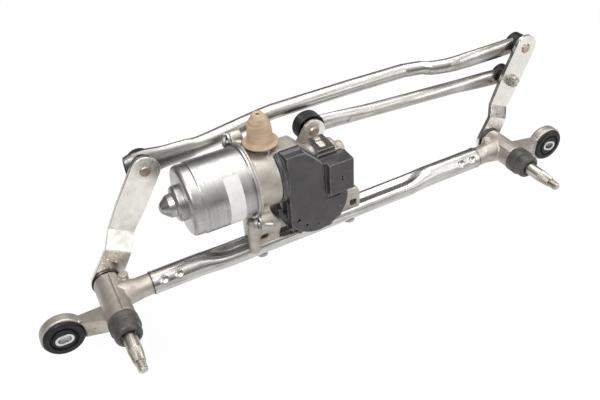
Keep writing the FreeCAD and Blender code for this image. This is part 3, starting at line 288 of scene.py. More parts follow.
def buildDrawnGroup():
    # Drawn or rolled metal: long streaks along one direction over a faint cloudiness
    group, given, result, place = newGroup("drawnMetal", {
        "Light": (0.75, 0.75, 0.75, 1), "Dark": (0.4, 0.4, 0.4, 1), "Stretch": (20.0, 600.0, 600.0),
        "Cloud Scale": 60.0, "Smooth": 0.25, "Rough": 0.45}, skinOutputs)
    stretched = group.nodes.new("ShaderNodeVectorMath")
    stretched.operation = "MULTIPLY"
    group.links.new(place, stretched.inputs[0])
    group.links.new(given["Stretch"], stretched.inputs[1])
    streak = noise(group, stretched.outputs["Vector"], 1.0, detail=4.0, rough=0.65)
    cloud = noise(group, place, given["Cloud Scale"], detail=3.0, rough=0.5)
    streakShare = arithmetic(group, "MULTIPLY", streak, 0.75)
    cloudShare = arithmetic(group, "MULTIPLY", cloud, 0.25)
    both = arithmetic(group, "ADD", streakShare, cloudShare)
    shade = remap(group, both, (0.38, 0.66), (0.0, 1.0))
    colour = mixColour(group, shade, given["Light"], given["Dark"])
    rough = remap(group, both, (0.38, 0.64), (given["Smooth"], given["Rough"]))
    linkSkin(group, result, colour, rough, streak)
    return group


def buildMouldedGroup():
    # Moulded rubber or plastic: spark-eroded texture with a little dust
    group, given, result, place = newGroup("mouldedSkin", {
        "Light": (0.03, 0.03, 0.03, 1), "Dark": (0.12, 0.12, 0.12, 1), "Grain Scale": 1400.0,
        "Cloud Scale": 70.0, "Dust Amount": 0.35, "Smooth": 0.35, "Rough": 0.6}, skinOutputs)
    grain = noise(group, place, given["Grain Scale"], detail=2.0, rough=0.5)
    cloud = noise(group, place, given["Cloud Scale"], detail=4.0, rough=0.6)
    settled = remap(group, cloud, (0.42, 0.72), (0.0, 1.0))
    dust = arithmetic(group, "MULTIPLY", settled, given["Dust Amount"])
    colour = mixColour(group, dust, given["Light"], given["Dark"])
    rough = remap(group, cloud, (0.36, 0.66), (given["Smooth"], given["Rough"]))
    linkSkin(group, result, colour, rough, grain)
    return group


def buildSpanGroup():
    # 1 at the first place along X, falling to 0 at the second, with a ragged edge
    group, given, result, place = newGroup("alongSpan", {
        "Full At": 0.0, "Gone At": 0.1, "Ragged Scale": 90.0}, ("Mask",))
    parts = group.nodes.new("ShaderNodeSeparateXYZ")
    group.links.new(place, parts.inputs["Vector"])
    ragged = noise(group, place, given["Ragged Scale"], detail=3.0, rough=0.5)
    shift = remap(group, ragged, (0.2, 0.8), (-0.006, 0.006))
    along = arithmetic(group, "ADD", parts.outputs["X"], shift)
    mask = remap(group, along, (given["Full At"], given["Gone At"]), (1.0, 0.0))
    group.links.new(mask, result["Mask"])
    return group


def buildWearGroup():
    # Handling marks: thin scratches in two directions and soft smudges
    group, given, result, place = newGroup("handlingWear", {"Scratch Scale": 1.0, "Smudge Scale": 28.0},
                                           ("Scratches", "Smudges"))
    lines = []
    for turn, stretch in ((0.6, (900.0, 60.0, 420.0)), (-0.9, (70.0, 420.0, 1100.0))):
        mapping = group.nodes.new("ShaderNodeMapping")
        mapping.inputs["Rotation"].default_value = (turn, turn * 0.7, -turn)
        mapping.inputs["Scale"].default_value = stretch
        group.links.new(place, mapping.inputs["Vector"])
        streak = noise(group, mapping.outputs["Vector"], given["Scratch Scale"], detail=2.0, rough=0.5)
        lines.append(remap(group, streak, (0.67, 0.71), (0.0, 1.0)))
    smudge = noise(group, place, given["Smudge Scale"], detail=4.0, rough=0.6)
    group.links.new(arithmetic(group, "MAXIMUM", lines[0], lines[1]), result["Scratches"])
    group.links.new(remap(group, smudge, (0.45, 0.68), (0.0, 1.0)), result["Smudges"])
    return group


def buildEdgeWearHighlightGroup():
    # Lighter edges, part rubbed wear and part painted highlight, found from how sharply a dense mesh turns,
    # broken up by noise
    group, given, result, place = newGroup("edgeWearAndHighlight", {
        "Starts At": 0.515, "Reach": 0.56, "Ragged Scale": 260.0}, ("Mask",))
    sharpness = group.nodes.new("ShaderNodeNewGeometry").outputs["Pointiness"]
    ragged = noise(group, place, given["Ragged Scale"], detail=3.0, rough=0.5)
    shift = remap(group, ragged, (0.3, 0.7), (-0.012, 0.012))
    turned = arithmetic(group, "ADD", sharpness, shift)
    mask = remap(group, turned, (given["Starts At"], given["Reach"]), (0.0, 1.0))
    group.links.new(mask, result["Mask"])
    return group


groups = {"cast": buildCastGroup(), "drawn": buildDrawnGroup(), "moulded": buildMouldedGroup(),
          "edge": buildEdgeWearHighlightGroup(), "span": buildSpanGroup(), "wear": buildWearGroup()}


# Finishes: each has two colours, a smooth and a rough limit, and what differs from its kind.
# A stretch squeezes the streaks of drawn metal, and its small numbers lie along them.

alongX = (14.0, 420.0, 420.0)
alongY = (420.0, 14.0, 420.0)
anyWay = (140.0, 140.0, 140.0)
aroundX = (520.0, 9.0, 9.0)
aroundZ = (45.0, 45.0, 260.0)

kindLook = {
    "cast": {"metallic": 0.75, "bump": 0.5, "depth": 0.12, "shine": 0.5, "scratches": 0.35, "smudges": 0.5,
             "worn": (0.66, 0.64, 0.60)},
    "drawn": {"metallic": 1.0, "bump": 0.15, "depth": 0.02, "shine": 0.5, "scratches": 0.45, "smudges": 0.6,
              "worn": (0.80, 0.79, 0.77)},
    "moulded": {"metallic": 0.0, "bump": 0.2, "depth": 0.03, "shine": 0.5, "scratches": 0.30, "smudges": 0.5},
}

finishLook = {
    "cast": {
        "castAlloy": {"colours": ((0.475, 0.435, 0.39), (0.21, 0.18, 0.155)), "rough": (0.36, 0.56)},
        "bronze": {"colours": ((0.50, 0.33, 0.17), (0.25, 0.15, 0.07)), "rough": (0.35, 0.55),
                   "metallic": 0.9, "bump": 0.3},
        "magnetCeramic": {"colours": ((0.06, 0.06, 0.06), (0.03, 0.03, 0.03)), "rough": (0.5, 0.7),
                          "metallic": 0.2, "bump": 0.3},
    },
    "drawn": {
        "tubeSteel": {"colours": ((0.66, 0.65, 0.63), (0.34, 0.325, 0.30)), "rough": (0.20, 0.34),
                      "stretch": alongX},
        "longRodSteel": {"colours": ((0.60, 0.585, 0.56), (0.30, 0.29, 0.27)), "rough": (0.22, 0.38),
                         "stretch": alongX},
        "shortRodSteel": {"colours": ((0.62, 0.605, 0.58), (0.34, 0.325, 0.30)), "rough": (0.24, 0.40),
                          "stretch": alongX},
        "leverZinc": {"colours": ((0.82, 0.80, 0.755), (0.74, 0.71, 0.655)), "rough": (0.18, 0.30),
                      "stretch": anyWay},
        "brightZinc": {"colours": ((0.72, 0.73, 0.73), (0.55, 0.55, 0.54)), "rough": (0.16, 0.28),
                       "stretch": anyWay, "bump": 0.05},
        "canSteel": {"colours": ((0.46, 0.455, 0.445), (0.35, 0.345, 0.335)), "rough": (0.28, 0.40),
                     "stretch": aroundX, "bump": 0.04},
        "studSteel": {"colours": ((0.62, 0.59, 0.53), (0.36, 0.33, 0.28)), "rough": (0.27, 0.42),
                      "stretch": alongY},
        "rivetSteel": {"colours": ((0.50, 0.42, 0.34), (0.30, 0.24, 0.19)), "rough": (0.28, 0.42),
                       "stretch": anyWay},
        "screwSteel": {"colours": ((0.46, 0.455, 0.435), (0.31, 0.30, 0.28)), "rough": (0.36, 0.50),
                       "stretch": anyWay, "bump": 0.05},
        # Dark washers, and the painted shade ring in each tube-end gap
        "darkWasherAndGapShade": {"colours": ((0.13, 0.12, 0.11), (0.07, 0.065, 0.06)), "rough": (0.25, 0.40),
                       "stretch": anyWay},
        "rotorSteel": {"colours": ((0.55, 0.55, 0.55), (0.35, 0.35, 0.35)), "rough": (0.2, 0.35),
                       "stretch": alongX},
        "windingCopper": {"colours": ((0.62, 0.26, 0.11), (0.32, 0.12, 0.05)), "rough": (0.25, 0.4),
                          "stretch": anyWay},
        "pinTin": {"colours": ((0.74, 0.70, 0.60), (0.5, 0.45, 0.36)), "rough": (0.2, 0.35),
                   "stretch": alongX},
        "ventRubber": {"colours": ((0.50, 0.375, 0.25), (0.26, 0.18, 0.115)), "rough": (0.36, 0.52),
                       "stretch": aroundZ, "metallic": 0.0, "bump": 0.25, "scratches": 0.12,
                       "smudges": 0.5, "worn": (0.55, 0.44, 0.33)},
    },
    "moulded": {
        "coverPlastic": {"colours": ((0.032, 0.029, 0.030), (0.075, 0.070, 0.070)), "rough": (0.24, 0.40),
                         "dust": 0.45},
        "capPlastic": {"colours": ((0.045, 0.041, 0.038), (0.15, 0.135, 0.125)), "rough": (0.28, 0.5),
                       "dust": 0.6, "shine": 0.35},
        "socketPlastic": {"colours": ((0.010, 0.010, 0.010), (0.05, 0.048, 0.045)), "rough": (0.20, 0.42),
                          "dust": 0.25, "shine": 0.35},
        "grommetRubber": {"colours": ((0.010, 0.009, 0.009), (0.045, 0.042, 0.04)), "rough": (0.34, 0.5),
                          "dust": 0.3, "shine": 0.25},
        "brushPlastic": {"colours": ((0.16, 0.08, 0.04), (0.24, 0.16, 0.10)), "rough": (0.4, 0.6),
                         "dust": 0.3},
        "boardLaminate": {"colours": ((0.04, 0.14, 0.07), (0.07, 0.18, 0.10)), "rough": (0.3, 0.5),
                          "dust": 0.4},
        "wheelNylon": {"colours": ((0.72, 0.68, 0.56), (0.6, 0.55, 0.44)), "rough": (0.35, 0.5),
                       "dust": 0.4},
        "labelPaper": {"colours": ((0.60, 0.595, 0.59), (0.48, 0.47, 0.455)), "rough": (0.40, 0.56),
                       "dust": 0.6, "bump": 0.1},
    },
}


smudgeDulls = 0.18  # what a full smudge adds to the roughness


def placeGroup(tree, name, values):
    placed = tree.nodes.new("ShaderNodeGroup")
    placed.node_tree = groups[name]
    for label, value in values.items():
        placed.inputs[label].default_value = value
    return placed.outputs


def makeFinish(name, kind, own):
    look = {**kindLook[kind], **own}
    light, dark = look["colours"]
    smooth, rough = look["rough"]
    values = {"Light": (*light, 1), "Dark": (*dark, 1), "Smooth": smooth, "Rough": rough}
    for label, key in (("Stretch", "stretch"), ("Dust Amount", "dust")):
        if key in look:
            values[label] = look[key]
    material = bpy.data.materials.new(name)
    material.use_nodes = True
    tree = material.node_tree
    shader = tree.nodes["Principled BSDF"].inputs
    skin = placeGroup(tree, kind, values)
    marks = placeGroup(tree, "wear", {})
    scratches = arithmetic(tree, "MULTIPLY", marks["Scratches"], look["scratches"])
    worn = plainColour(tree, look.get("worn", dark))
    tree.links.new(mixColour(tree, scratches, skin["Color"], worn), shader["Base Color"])
    smudges = arithmetic(tree, "MULTIPLY", marks["Smudges"], look["smudges"])
    dulled = arithmetic(tree, "MULTIPLY", smudges, smudgeDulls)
    tree.links.new(arithmetic(tree, "ADD", skin["Roughness"], dulled), shader["Roughness"])
    shader["Metallic"].default_value = look["metallic"]
    shader["Specular IOR Level"].default_value = look["shine"]
    relief = tree.nodes.new("ShaderNodeBump")
    relief.inputs["Strength"].default_value = look["bump"]
    relief.inputs["Distance"].default_value = look["depth"] * mm
    tree.links.new(skin["Height"], relief.inputs["Height"])
    tree.links.new(relief.outputs["Normal"], shader["Normal"])
    return material


finishes = {}
for kind, looks in finishLook.items():
    for name, own in looks.items():
        finishes[name] = makeFinish(name, kind, own)


def paintOver(finish, group, values, share, colour):
    # Another colour goes over a finish wherever the group's mask says so
    tree = finishes[finish].node_tree
    base = tree.nodes["Principled BSDF"].inputs["Base Color"]
    under = base.links[0].from_socket
    mask = placeGroup(tree, group, values)["Mask"]
    amount = arithmetic(tree, "MULTIPLY", mask, share)
    tree.links.new(mixColour(tree, amount, under, plainColour(tree, colour)), base)


# Lighter edges on the dense meshes, part rubbed wear and part painted highlight, and the rods' tarnished
# pressed ends between two places in mm

edgeWearHighlightLook = (
    {"finish": "coverPlastic", "reach": 0.57, "share": 0.8, "colour": (0.24, 0.235, 0.235)},
    {"finish": "castAlloy", "reach": 0.58, "share": 0.5, "colour": (0.62, 0.59, 0.55)},
)
tarnishLook = (
    {"finish": "longRodSteel", "full": 62.0, "gone": 112.0, "colour": (0.15, 0.145, 0.14)},
    {"finish": "longRodSteel", "full": 416.0, "gone": 402.0, "colour": (0.22, 0.205, 0.19)},
    {"finish": "shortRodSteel", "full": 402.0, "gone": 380.0, "colour": (0.25, 0.235, 0.22)},
)
tarnishShare = 0.85
# Painted edge highlight, also standing for rubbed wear, goes over the cover and the castings
for look in edgeWearHighlightLook:
    paintOver(look["finish"], "edge", {"Reach": look["reach"]}, look["share"], look["colour"])
for look in tarnishLook:
    span = {"Full At": look["full"] * mm, "Gone At": look["gone"] * mm}
    paintOver(look["finish"], "span", span, tarnishShare, look["colour"])

finishOfSlot = {
    "galvanised_tube": "tubeSteel", "cast_alloy": "castAlloy", "grommet_rubber": "grommetRubber",
    "bright_zinc": "brightZinc", "sintered_bronze": "bronze", "cap_plastic": "capPlastic",
    "motor_steel": "canSteel", "magnet_ceramic": "magnetCeramic", "screw_steel": "screwSteel",
    "brush_plastic": "brushPlastic", "cover_plastic": "coverPlastic", "board_laminate": "boardLaminate",
    "pin_tin": "pinTin", "vent_rubber": "ventRubber", "rotor_steel": "rotorSteel",
    "winding_copper": "windingCopper", "wheel_nylon": "wheelNylon", "lever_zinc": "leverZinc",
    "stud_steel": "studSteel", "rod_steel": "longRodSteel", "socket_plastic": "socketPlastic",
}
finishOfNode = {
    "short_rod": "shortRodSteel", "left_washers": "darkWasherAndGapShade", "right_washers": "darkWasherAndGapShade",
    "crank_ball_stud": "rivetSteel", "left_ball_stud": "rivetSteel", "right_ball_stud": "rivetSteel",
}


def finishOf(node):
    return finishes[finishOfNode.get(node, finishOfSlot[slotOfNode[node]])]


def finishPiece(piece, node):
    piece.data.materials.clear()
    piece.data.materials.append(finishOf(node))
    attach(piece, bodyOfNode[node])
    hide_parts(node)


for nodeName, nodeObject in frame["nodes"].items():
    nodeObject.data.materials.clear()
    nodeObject.data.materials.append(finishOf(nodeName))
print("materials made:", len(finishes))


# Round marks of ejector pins and punches, a little proud of the face that looks to the front

markLook = {"edge": 0.4, "height": 1.5, "taper": 0.3, "tip": 0.5, "sides": 24, "lookFrom": -300.0,
            "pinProud": 0.55, "punchProud": 0.3, "punchRadius": 1.1}


def addMarks(piece, places, radius, proud, look):
    # The front face is found by looking along +Y, and a place beside the piece gets no mark
    spots = []
    for x, z in places:
        eye = Vector((x * mm, look["lookFrom"] * mm, z * mm))
        found, place = piece.ray_cast(eye, Vector((0, 1, 0)))[:2]
        if found:
            spots.append(((-90, 0, 0), (x, place.y / mm - proud, z)))
    if spots:
        edge = min(look["edge"], proud)
        outline = [(radius - edge, 0), (radius, edge), (radius, look["height"] - look["taper"]),
                   (radius * look["tip"], look["height"])]
        joinPieces(piece, placeCopies(turnedPiece("mark", outline, look["sides"]), spots))


# Castings and the cover: the skin of the solids is drawn over with round fillets

castingLook = {
    "left_housing": {"grid": 0.60, "soften": 5,
                     "pins": ((-32.5, -10.0, 2.6), (-30.5, -20.5, 1.9), (-21.0, -13.5, 2.2))},
    "right_housing": {"grid": 0.60, "soften": 5, "pins": ((452.0, -4.0, 2.4), (462.0, -9.5, 1.9))},
    "gear_casing": {"grid": 0.92, "soften": 4, "pins": ()},
    "gear_cover": {"grid": 0.48, "soften": 3, "pins": ()},
}


def makeCasting(node, look):
    piece = mergedCopy(node, node + "_skin")
    for x, z, radius in look["pins"]:
        addMarks(piece, [(x, z)], radius, markLook["pinProud"], markLook)
    addModifier(piece, "REMESH", mode="VOXEL", voxel_size=look["grid"] * mm, use_smooth_shade=True)
    addModifier(piece, "SMOOTH", factor=0.5, iterations=look["soften"])
    finishPiece(piece, node)
    return piece


for nodeName, look in castingLook.items():
    made = makeCasting(nodeName, look)
    print("casting", made.name, len(made.data.polygons), "faces")


# Frame tube: four staked dimples, a rolled lip at each end, and a dark ring past each end that is painted
# shade in the gap there

tubeLook = {
    "radius": 10.5, "bore": 9.2, "leftY": 51.0, "rightY": 44.5, "sides": 64, "crease": 30,
    "dimples": 2, "dimpleInset": 9.5, "dimplePitch": 13.5, "dimpleLean": 38.0, "dimpleDepth": 1.4,
    "dimpleBall": 6.4, "ballSides": 48, "ballRings": 32,
    "rimRadius": 3.9, "rimThick": 0.6, "rimSink": 0.55, "rimWall": 0.3, "rimSides": 36,
    "rimProfile": ((-0.6, 0.14), (0.0, 0.18), (0.7, 0.06), (1.0, -0.25)),  # share of rimThick, height
    "lipReach": 0.35, "lipWidth": 1.3, "lipEdge": 0.3, "lipBack": 0.4, "lipSink": 0.2,
    "gapWidth": 0.9, "gapSink": 0.15, "gapBore": 9.4,
}


def tubeAxis(x, look):
    # The tube's axis runs between the spindles and comes forward to the right
    left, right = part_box("left_spindle")[0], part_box("right_spindle")[0]
    share = x / ((right.x - left.x) / mm)
    rise = (right.z - left.z) / mm
    return look["leftY"] + (look["rightY"] - look["leftY"]) * share, rise * share


def tubeEnds():
    low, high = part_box("frame_tube")
    return (low.x / mm, 1), (high.x / mm, -1)


def dimpleSpots(look, reach, turn):
    # Places near each end, at a reach from the tube's axis towards the upper front
    lean = math.radians(look["dimpleLean"])
    spots = []
    for end, inward in tubeEnds():
        for step in range(look["dimples"]):
            x = end + inward * (look["dimpleInset"] + step * look["dimplePitch"])
            y, z = tubeAxis(x, look)
            spots.append(((turn, 0, 0), (x, y - reach * math.cos(lean), z + reach * math.sin(lean))))
    return spots


def endSpots(look, facing):
    # Facing is 1 for a ring that reaches back along the tube and -1 for one that reaches past its end
    return [((0, 90 * inward * facing, 0), (end, *tubeAxis(end, look))) for end, inward in tubeEnds()]


def makeRim(look):
    # A raised ring of displaced metal around a staked dimple
    radius, thick = look["rimRadius"], look["rimThick"]
    piece = newPrimitive(bpy.ops.mesh.primitive_circle_add, "rim", vertices=look["rimSides"],
                         radius=(radius - thick) * mm, fill_type="NOTHING")
    editMode(piece)
    for part, height in look["rimProfile"]:
        bpy.ops.mesh.extrude_edges_move(TRANSFORM_OT_translate={"value": (0, 0, 0)})
        mesh = bmesh.from_edit_mesh(piece.data)
        place = next(point.co for point in mesh.verts if point.select)
        share = (radius + part * thick) * mm / math.hypot(place.x, place.y)
        lift = height * mm - place.z
        bpy.ops.transform.resize(value=(share, share, 1), center_override=(0, 0, 0))
        bpy.ops.transform.translate(value=(0, 0, lift))
    outwardAgain()
    objectMode()
    addModifier(piece, "SOLIDIFY", thickness=look["rimWall"] * mm, offset=-1.0)
    return piece


def makeTube(look):
    radius, bore, edge = look["radius"], look["bore"], look["lipEdge"]
    piece = mergedCopy("frame_tube", "frame_tube_staked")
    ball = newPrimitive(bpy.ops.mesh.primitive_uv_sphere_add, "ball", segments=look["ballSides"],
                        ring_count=look["ballRings"], radius=look["dimpleBall"] * mm)
    ballSpots = dimpleSpots(look, radius + look["dimpleBall"] - look["dimpleDepth"], 0)
    for cutter in placeCopies(ball, ballSpots):
        cutWith(piece, cutter)
    rimSpots = dimpleSpots(look, radius - look["rimSink"], 90 - look["dimpleLean"])
    joinPieces(piece, placeCopies(makeRim(look), rimSpots))
    lip, width = radius + look["lipReach"], look["lipWidth"]
    outline = [(bore, 0), (lip - edge, 0), (lip, edge), (lip, width - look["lipBack"]),
               (radius - look["lipSink"], width), (bore, width)]
    joinPieces(piece, placeCopies(turnedPiece("lip", outline, look["sides"]), endSpots(look, 1)))
    smoothBy(piece, look["crease"])
    finishPiece(piece, "frame_tube")
    return piece


def makeTubeGapShade(look):
    # A dark ring past each tube end: painted shade for the gap there, not a part
    outer, width = look["radius"] - look["gapSink"], look["gapWidth"]
    outline = [(look["bore"], 0), (outer, 0), (outer, width), (look["gapBore"], width)]
    rings = placeCopies(turnedPiece("tube_gap_shade", outline, look["sides"]), endSpots(look, -1))
    piece = joinPieces(rings[0], rings[1:])
    smoothBy(piece, look["crease"])
    piece.data.materials.append(finishes["darkWasherAndGapShade"])
    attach(piece, bodyOfNode["frame_tube"])
    return piece


print("tube", makeTube(tubeLook).name, makeTubeGapShade(tubeLook).name)


# Flange screws: pan heads with a slot

screwLook = {
    "sides": 40, "crease": 35, "headRadius": 5.0, "headHeight": 3.6, "headEdge": 0.3,
    "dome": ((0.45, 0.0), (0.75, 0.25), (0.94, 0.9), (1.0, 1.8)),  # share of headRadius, height
    "shank": 2.4, "tipLength": 1.0, "tipTaper": 0.8,
    "slot": 1.3, "slotDepth": 1.5, "slotLength": 12.0, "slotTurn": 35,
}


def makeFlangeScrews(node, look):
    low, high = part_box(node)
    length = (high.x - low.x) / mm
    radius, height, shank, edge = look["headRadius"], look["headHeight"], look["shank"], look["headEdge"]
    outline = [(radius * share, rise) for share, rise in look["dome"]]
    outline += [(radius, height - edge), (radius - edge, height), (shank, height),
                (shank, length - look["tipLength"]), (shank - look["tipTaper"], length)]
    screw = turnedPiece("flange_screw", outline, look["sides"])
    slot = newPrimitive(bpy.ops.mesh.primitive_cube_add, "slot", size=1.0,
                        scale=(look["slot"] * mm, look["slotLength"] * mm, look["slotDepth"] * 2 * mm))
    cutWith(screw, slot)
    turn = (look["slotTurn"], 90, 0)
    screws = placeCopies(screw, [
        (turn, (low.x / mm, high.y / mm - radius, high.z / mm - radius)),
        (turn, (low.x / mm, low.y / mm + radius, low.z / mm + radius)),
    ])
    piece = joinPieces(screws[0], screws[1:])
    piece.name = node + "_slotted"
    smoothBy(piece, look["crease"])
    finishPiece(piece, node)
    return piece


print("screws", makeFlangeScrews("can_screws", screwLook).name)


# Spindles: a knurled cone and a threaded tip in front of the plain shaft

spindleLook = {
    "sides": 72, "crease": 24,
    "threadRadius": 4.0, "threadPitch": 1.25, "threadTurns": 6, "threadSteps": 24, "threadStart": 1.2,
    "threadSize": 0.5, "threadDepth": 0.6,  # shares of threadPitch
    "tip": -37.5, "tipEdge": 0.9, "threadStop": -28.4, "collar": 0.2,
    "coneTipRadius": 4.8, "coneStart": 0.8, "coneStop": -15.2, "coneEdge": 0.3, "coneLand": 0.5,
    "knurlDepth": 0.045, "knurlMargin": 0.1, "shaftRadius": 6.0, "shoulder": 0.4,
    "seatRadius": 5.5, "seatStop": 6.5, "seatStep": 0.1,
    "plate": 4.0, "plateStep": 1.0, "rivetRadius": 7.0, "rivetHeight": 1.4, "rivetEdge": 0.8, "closed": 0.05,
}


def makeThread(look):
    # A small triangle is wound up with the Screw modifier and its two ends are filled
    size = look["threadPitch"] * look["threadSize"]
    piece = newPrimitive(bpy.ops.mesh.primitive_circle_add, "thread", vertices=3, radius=size * mm,
                         location=((look["threadRadius"] - size) * mm, 0,
                                   (look["tip"] + look["threadStart"]) * mm),
                         rotation=(math.radians(90), math.radians(90), 0))
    addModifier(piece, "SCREW", axis="Z", angle=math.radians(360), screw_offset=look["threadPitch"] * mm,
                iterations=look["threadTurns"], steps=look["threadSteps"], render_steps=look["threadSteps"])
    editMode(piece)
    bpy.ops.mesh.fill_holes(sides=3)
    outwardAgain()
    objectMode()
    return piece


def knurlCone(piece, start, stop, look):
    # Every other column of points on the cone is pulled in
    editMode(piece)
    bpy.ops.mesh.select_all(action="DESELECT")
    mesh = bmesh.from_edit_mesh(piece.data)
    for point in mesh.verts:
        column = round(math.atan2(point.co.y, point.co.x) / (2 * math.pi) * look["sides"])
        point.select = column % 2 == 1 and start * mm < point.co.z < stop * mm
    bmesh.update_edit_mesh(piece.data)
    pull = 1 - look["knurlDepth"]
    bpy.ops.transform.resize(value=(pull, pull, 1), center_override=(0, 0, 0))
    objectMode()


def makeSpindle(node, thread, look):
    x, _, z = middleOf(node)
    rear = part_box(node)[1].y / mm
    plateBack = rear - look["rivetHeight"]
    plateFront = plateBack - look["plate"]
    core = look["threadRadius"] - look["threadPitch"] * look["threadDepth"]
    tip, stop, edge = look["tip"], look["threadStop"], look["coneEdge"]
    coneTip, coneStart, coneStop = look["coneTipRadius"], stop + look["coneStart"], look["coneStop"]
    shaft, seat, rivet = look["shaftRadius"], look["seatRadius"], look["rivetRadius"]
    groove = shaft - look["plateStep"]
    margin = look["knurlMargin"]
    outline = [(core - look["tipEdge"], tip), (core, tip + look["tipEdge"]), (core, stop),
               (coneTip - edge, stop + look["collar"]), (coneTip, coneStart - edge), (coneTip, coneStart),
               (shaft, coneStop), (shaft, coneStop + look["coneLand"]), (shaft, -look["shoulder"]),
               (shaft - edge, 0), (seat, look["seatStep"]), (seat, look["seatStop"]),
               (shaft, look["seatStop"] + look["seatStep"]), (shaft, plateFront), (groove, plateFront),
               (groove, plateBack), (rivet, plateBack), (rivet - look["rivetEdge"], rear),
               (look["closed"], rear)]
    piece = turnedPiece(node + "_turned", outline, look["sides"])
    knurlCone(piece, coneStart - margin, coneStop + margin, look)
    joinPieces(piece, [copyPiece(thread)])
    placePiece(piece, (-90, 0, 0), (x, 0, z))
    smoothBy(piece, look["crease"])
    finishPiece(piece, node)
    return piece


tipThread = makeThread(spindleLook)
for nodeName in ("left_spindle", "right_spindle"):
    print("spindle", makeSpindle(nodeName, tipThread, spindleLook).name)
bpy.data.objects.remove(tipThread)


# Seal caps: a broad band, a step, a narrower nose and a lip around the bore

capLook = {
    "sides": 72, "crease": 35, "back": 20.9, "band": 13.0, "bandStop": 10.4, "nose": 11.7,
    "bandRound": ((0.7, 0.0), (0.15, 0.15), (0.0, 0.7)),  # inside the band's radius, in front of its back
    "step": ((0.5, 0.2), (0.0, 0.8)),  # outside the nose's radius, in front of bandStop
    "noseRound": ((0.1, 3.2), (0.5, 1.8), (1.5, 0.9), (2.7, 0.5)),  # inside the nose's radius, height
    "lip": ((8.5, 0.3), (8.1, 0.5), (7.9, 1.5), (7.2, 1.7), (6.9, 1.2), (0.05, 1.2)),
    "bandEdge": (0.2, 0.5), "bore": 6.35, "hollow": 10.42, "wall": 3.0, "cutterLength": 60.0,
}


def makeSealCaps(nodes, look):
    back, band, stop, nose = look["back"], look["band"], look["bandStop"], look["nose"]
    edgeIn, edgeBack = look["bandEdge"]
    outline = [(band - inset, back - drop) for inset, drop in look["bandRound"]]
    outline += [(band, stop + edgeBack), (band - edgeIn, stop)]
    outline += [(nose + outset, stop - drop) for outset, drop in look["step"]]
    outline += [(nose - inset, height) for inset, height in look["noseRound"]]
    outline += look["lip"]
    cap = turnedPiece("cap", outline, look["sides"])
    length = look["cutterLength"]
    for radius, start in ((look["bore"], -length / 2), (look["hollow"], look["wall"])):
        cutter = newPrimitive(bpy.ops.mesh.primitive_cylinder_add, "cutter", vertices=look["sides"],
                              radius=radius * mm, depth=length * mm,
                              location=(0, 0, (start + length / 2) * mm))
        cutWith(cap, cutter)
    middles = [middleOf(node) for node in nodes]
    caps = placeCopies(cap, [((-90, 0, 0), (x, 0, z)) for x, _, z in middles])
    for piece, node in zip(caps, nodes):
        piece.name = node + "_stepped"
        smoothBy(piece, look["crease"])
        finishPiece(piece, node)
    return caps


print("seal caps", [piece.name for piece in makeSealCaps(("left_seal_cap", "right_seal_cap"), capLook)])


# Crank boot: a ribbed rubber cup around the crank's ball

bootLook = {
    "sides": 72, "crease": 40, "pocket": 11.9, "floor": 1.4, "mouthDepth": 0.5, "mouthFlare": 0.6,
    "outer": 14.2, "ribs": 4, "ribHeight": 0.9, "ribStart": 0.4, "ribRoom": 2.4,
    "ribRise": 0.28, "ribTop": 0.6, "ribEnd": 0.86,  # shares of the pitch between ribs
    "heel": ((1.2, 1.4), (3.0, 0.3), (5.0, 0.0)),  # inside the outer radius, in front of the back
    "closed": 0.05,
}


def makeBoot(node, look):
    x, _, z = middleOf(node)
    low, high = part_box(node)
    front, back = low.y / mm, high.y / mm
    pocket, outer = look["pocket"], look["outer"]
    valley = outer - look["ribHeight"]
    outline = [(pocket, back - look["floor"]), (pocket, front + look["mouthDepth"]),
               (pocket + look["mouthFlare"], front), (valley, front)]
    pitch = (back - front - look["ribRoom"]) / look["ribs"]
    for rib in range(look["ribs"]):
        start = front + look["ribStart"] + rib * pitch
        outline += [(valley, start), (outer, start + pitch * look["ribRise"]),
                    (outer, start + pitch * look["ribTop"]), (valley, start + pitch * look["ribEnd"])]
    outline += [(outer - inset, back - ahead) for inset, ahead in look["heel"]]
    outline.append((look["closed"], back))
    piece = turnedPiece(node + "_ribbed", outline, look["sides"])
    placePiece(piece, (-90, 0, 0), (x, 0, z))
    smoothBy(piece, look["crease"])
    finishPiece(piece, node)
    return piece


print("boot", makeBoot("crank_boot", bootLook).name)


# Vent cap: a soft bell with a rounded rim, a waist and a breather hole

ventLook = {
    "sides": 64, "crease": 50, "bore": 6.02, "boreDepth": 9.4, "skirt": 0.9, "skirtWall": 2.0,
    "bell": ((14.0, 0.1), (14.9, 0.3), (15.3, 0.9), (15.3, 1.5), (14.9, 1.9), (13.6, 2.1), (12.3, 2.5),
             (11.5, 3.4), (11.0, 4.6), (10.8, 7.0), (10.6, 11.0), (10.3, 14.5), (9.8, 17.6), (9.1, 20.2),
             (8.1, 22.4), (6.9, 24.3), (5.9, 25.8), (5.3, 27.0)),  # radius, height above the seat
    "crown": ((4.6, -0.3), (3.6, 0.0), (2.6, -0.2)),  # radius, height from the top
    "breather": 1.6, "breatherSpan": (-0.7, -2.6), "chamber": (5.0, 20.0),
}


def makeVent(node, look):
    x, y, _ = middleOf(node)
    low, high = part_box(node)
    seat, top = low.z / mm + look["skirt"], high.z / mm
    bore, foot = look["bore"], seat - look["skirt"]
    chamber, chamberTop = look["chamber"]
    outline = [(bore, seat + look["boreDepth"]), (bore, foot), (bore + look["skirtWall"], foot)]
    outline += [(radius, seat + rise) for radius, rise in look["bell"]]
    outline += [(radius, top + rise) for radius, rise in look["crown"]]
    outline += [(look["breather"], top + rise) for rise in look["breatherSpan"]]
    outline.append((chamber, seat + chamberTop))
    piece = turnedPiece(node + "_bell", outline, look["sides"])
    placePiece(piece, (0, 0, 0), (x, y, 0))
    smoothBy(piece, look["crease"])
    finishPiece(piece, node)
    return piece


print("vent cap", makeVent("vent_cap", ventLook).name)


# Pressed and moulded pieces: the solid's skin with rounded edges that catch the light

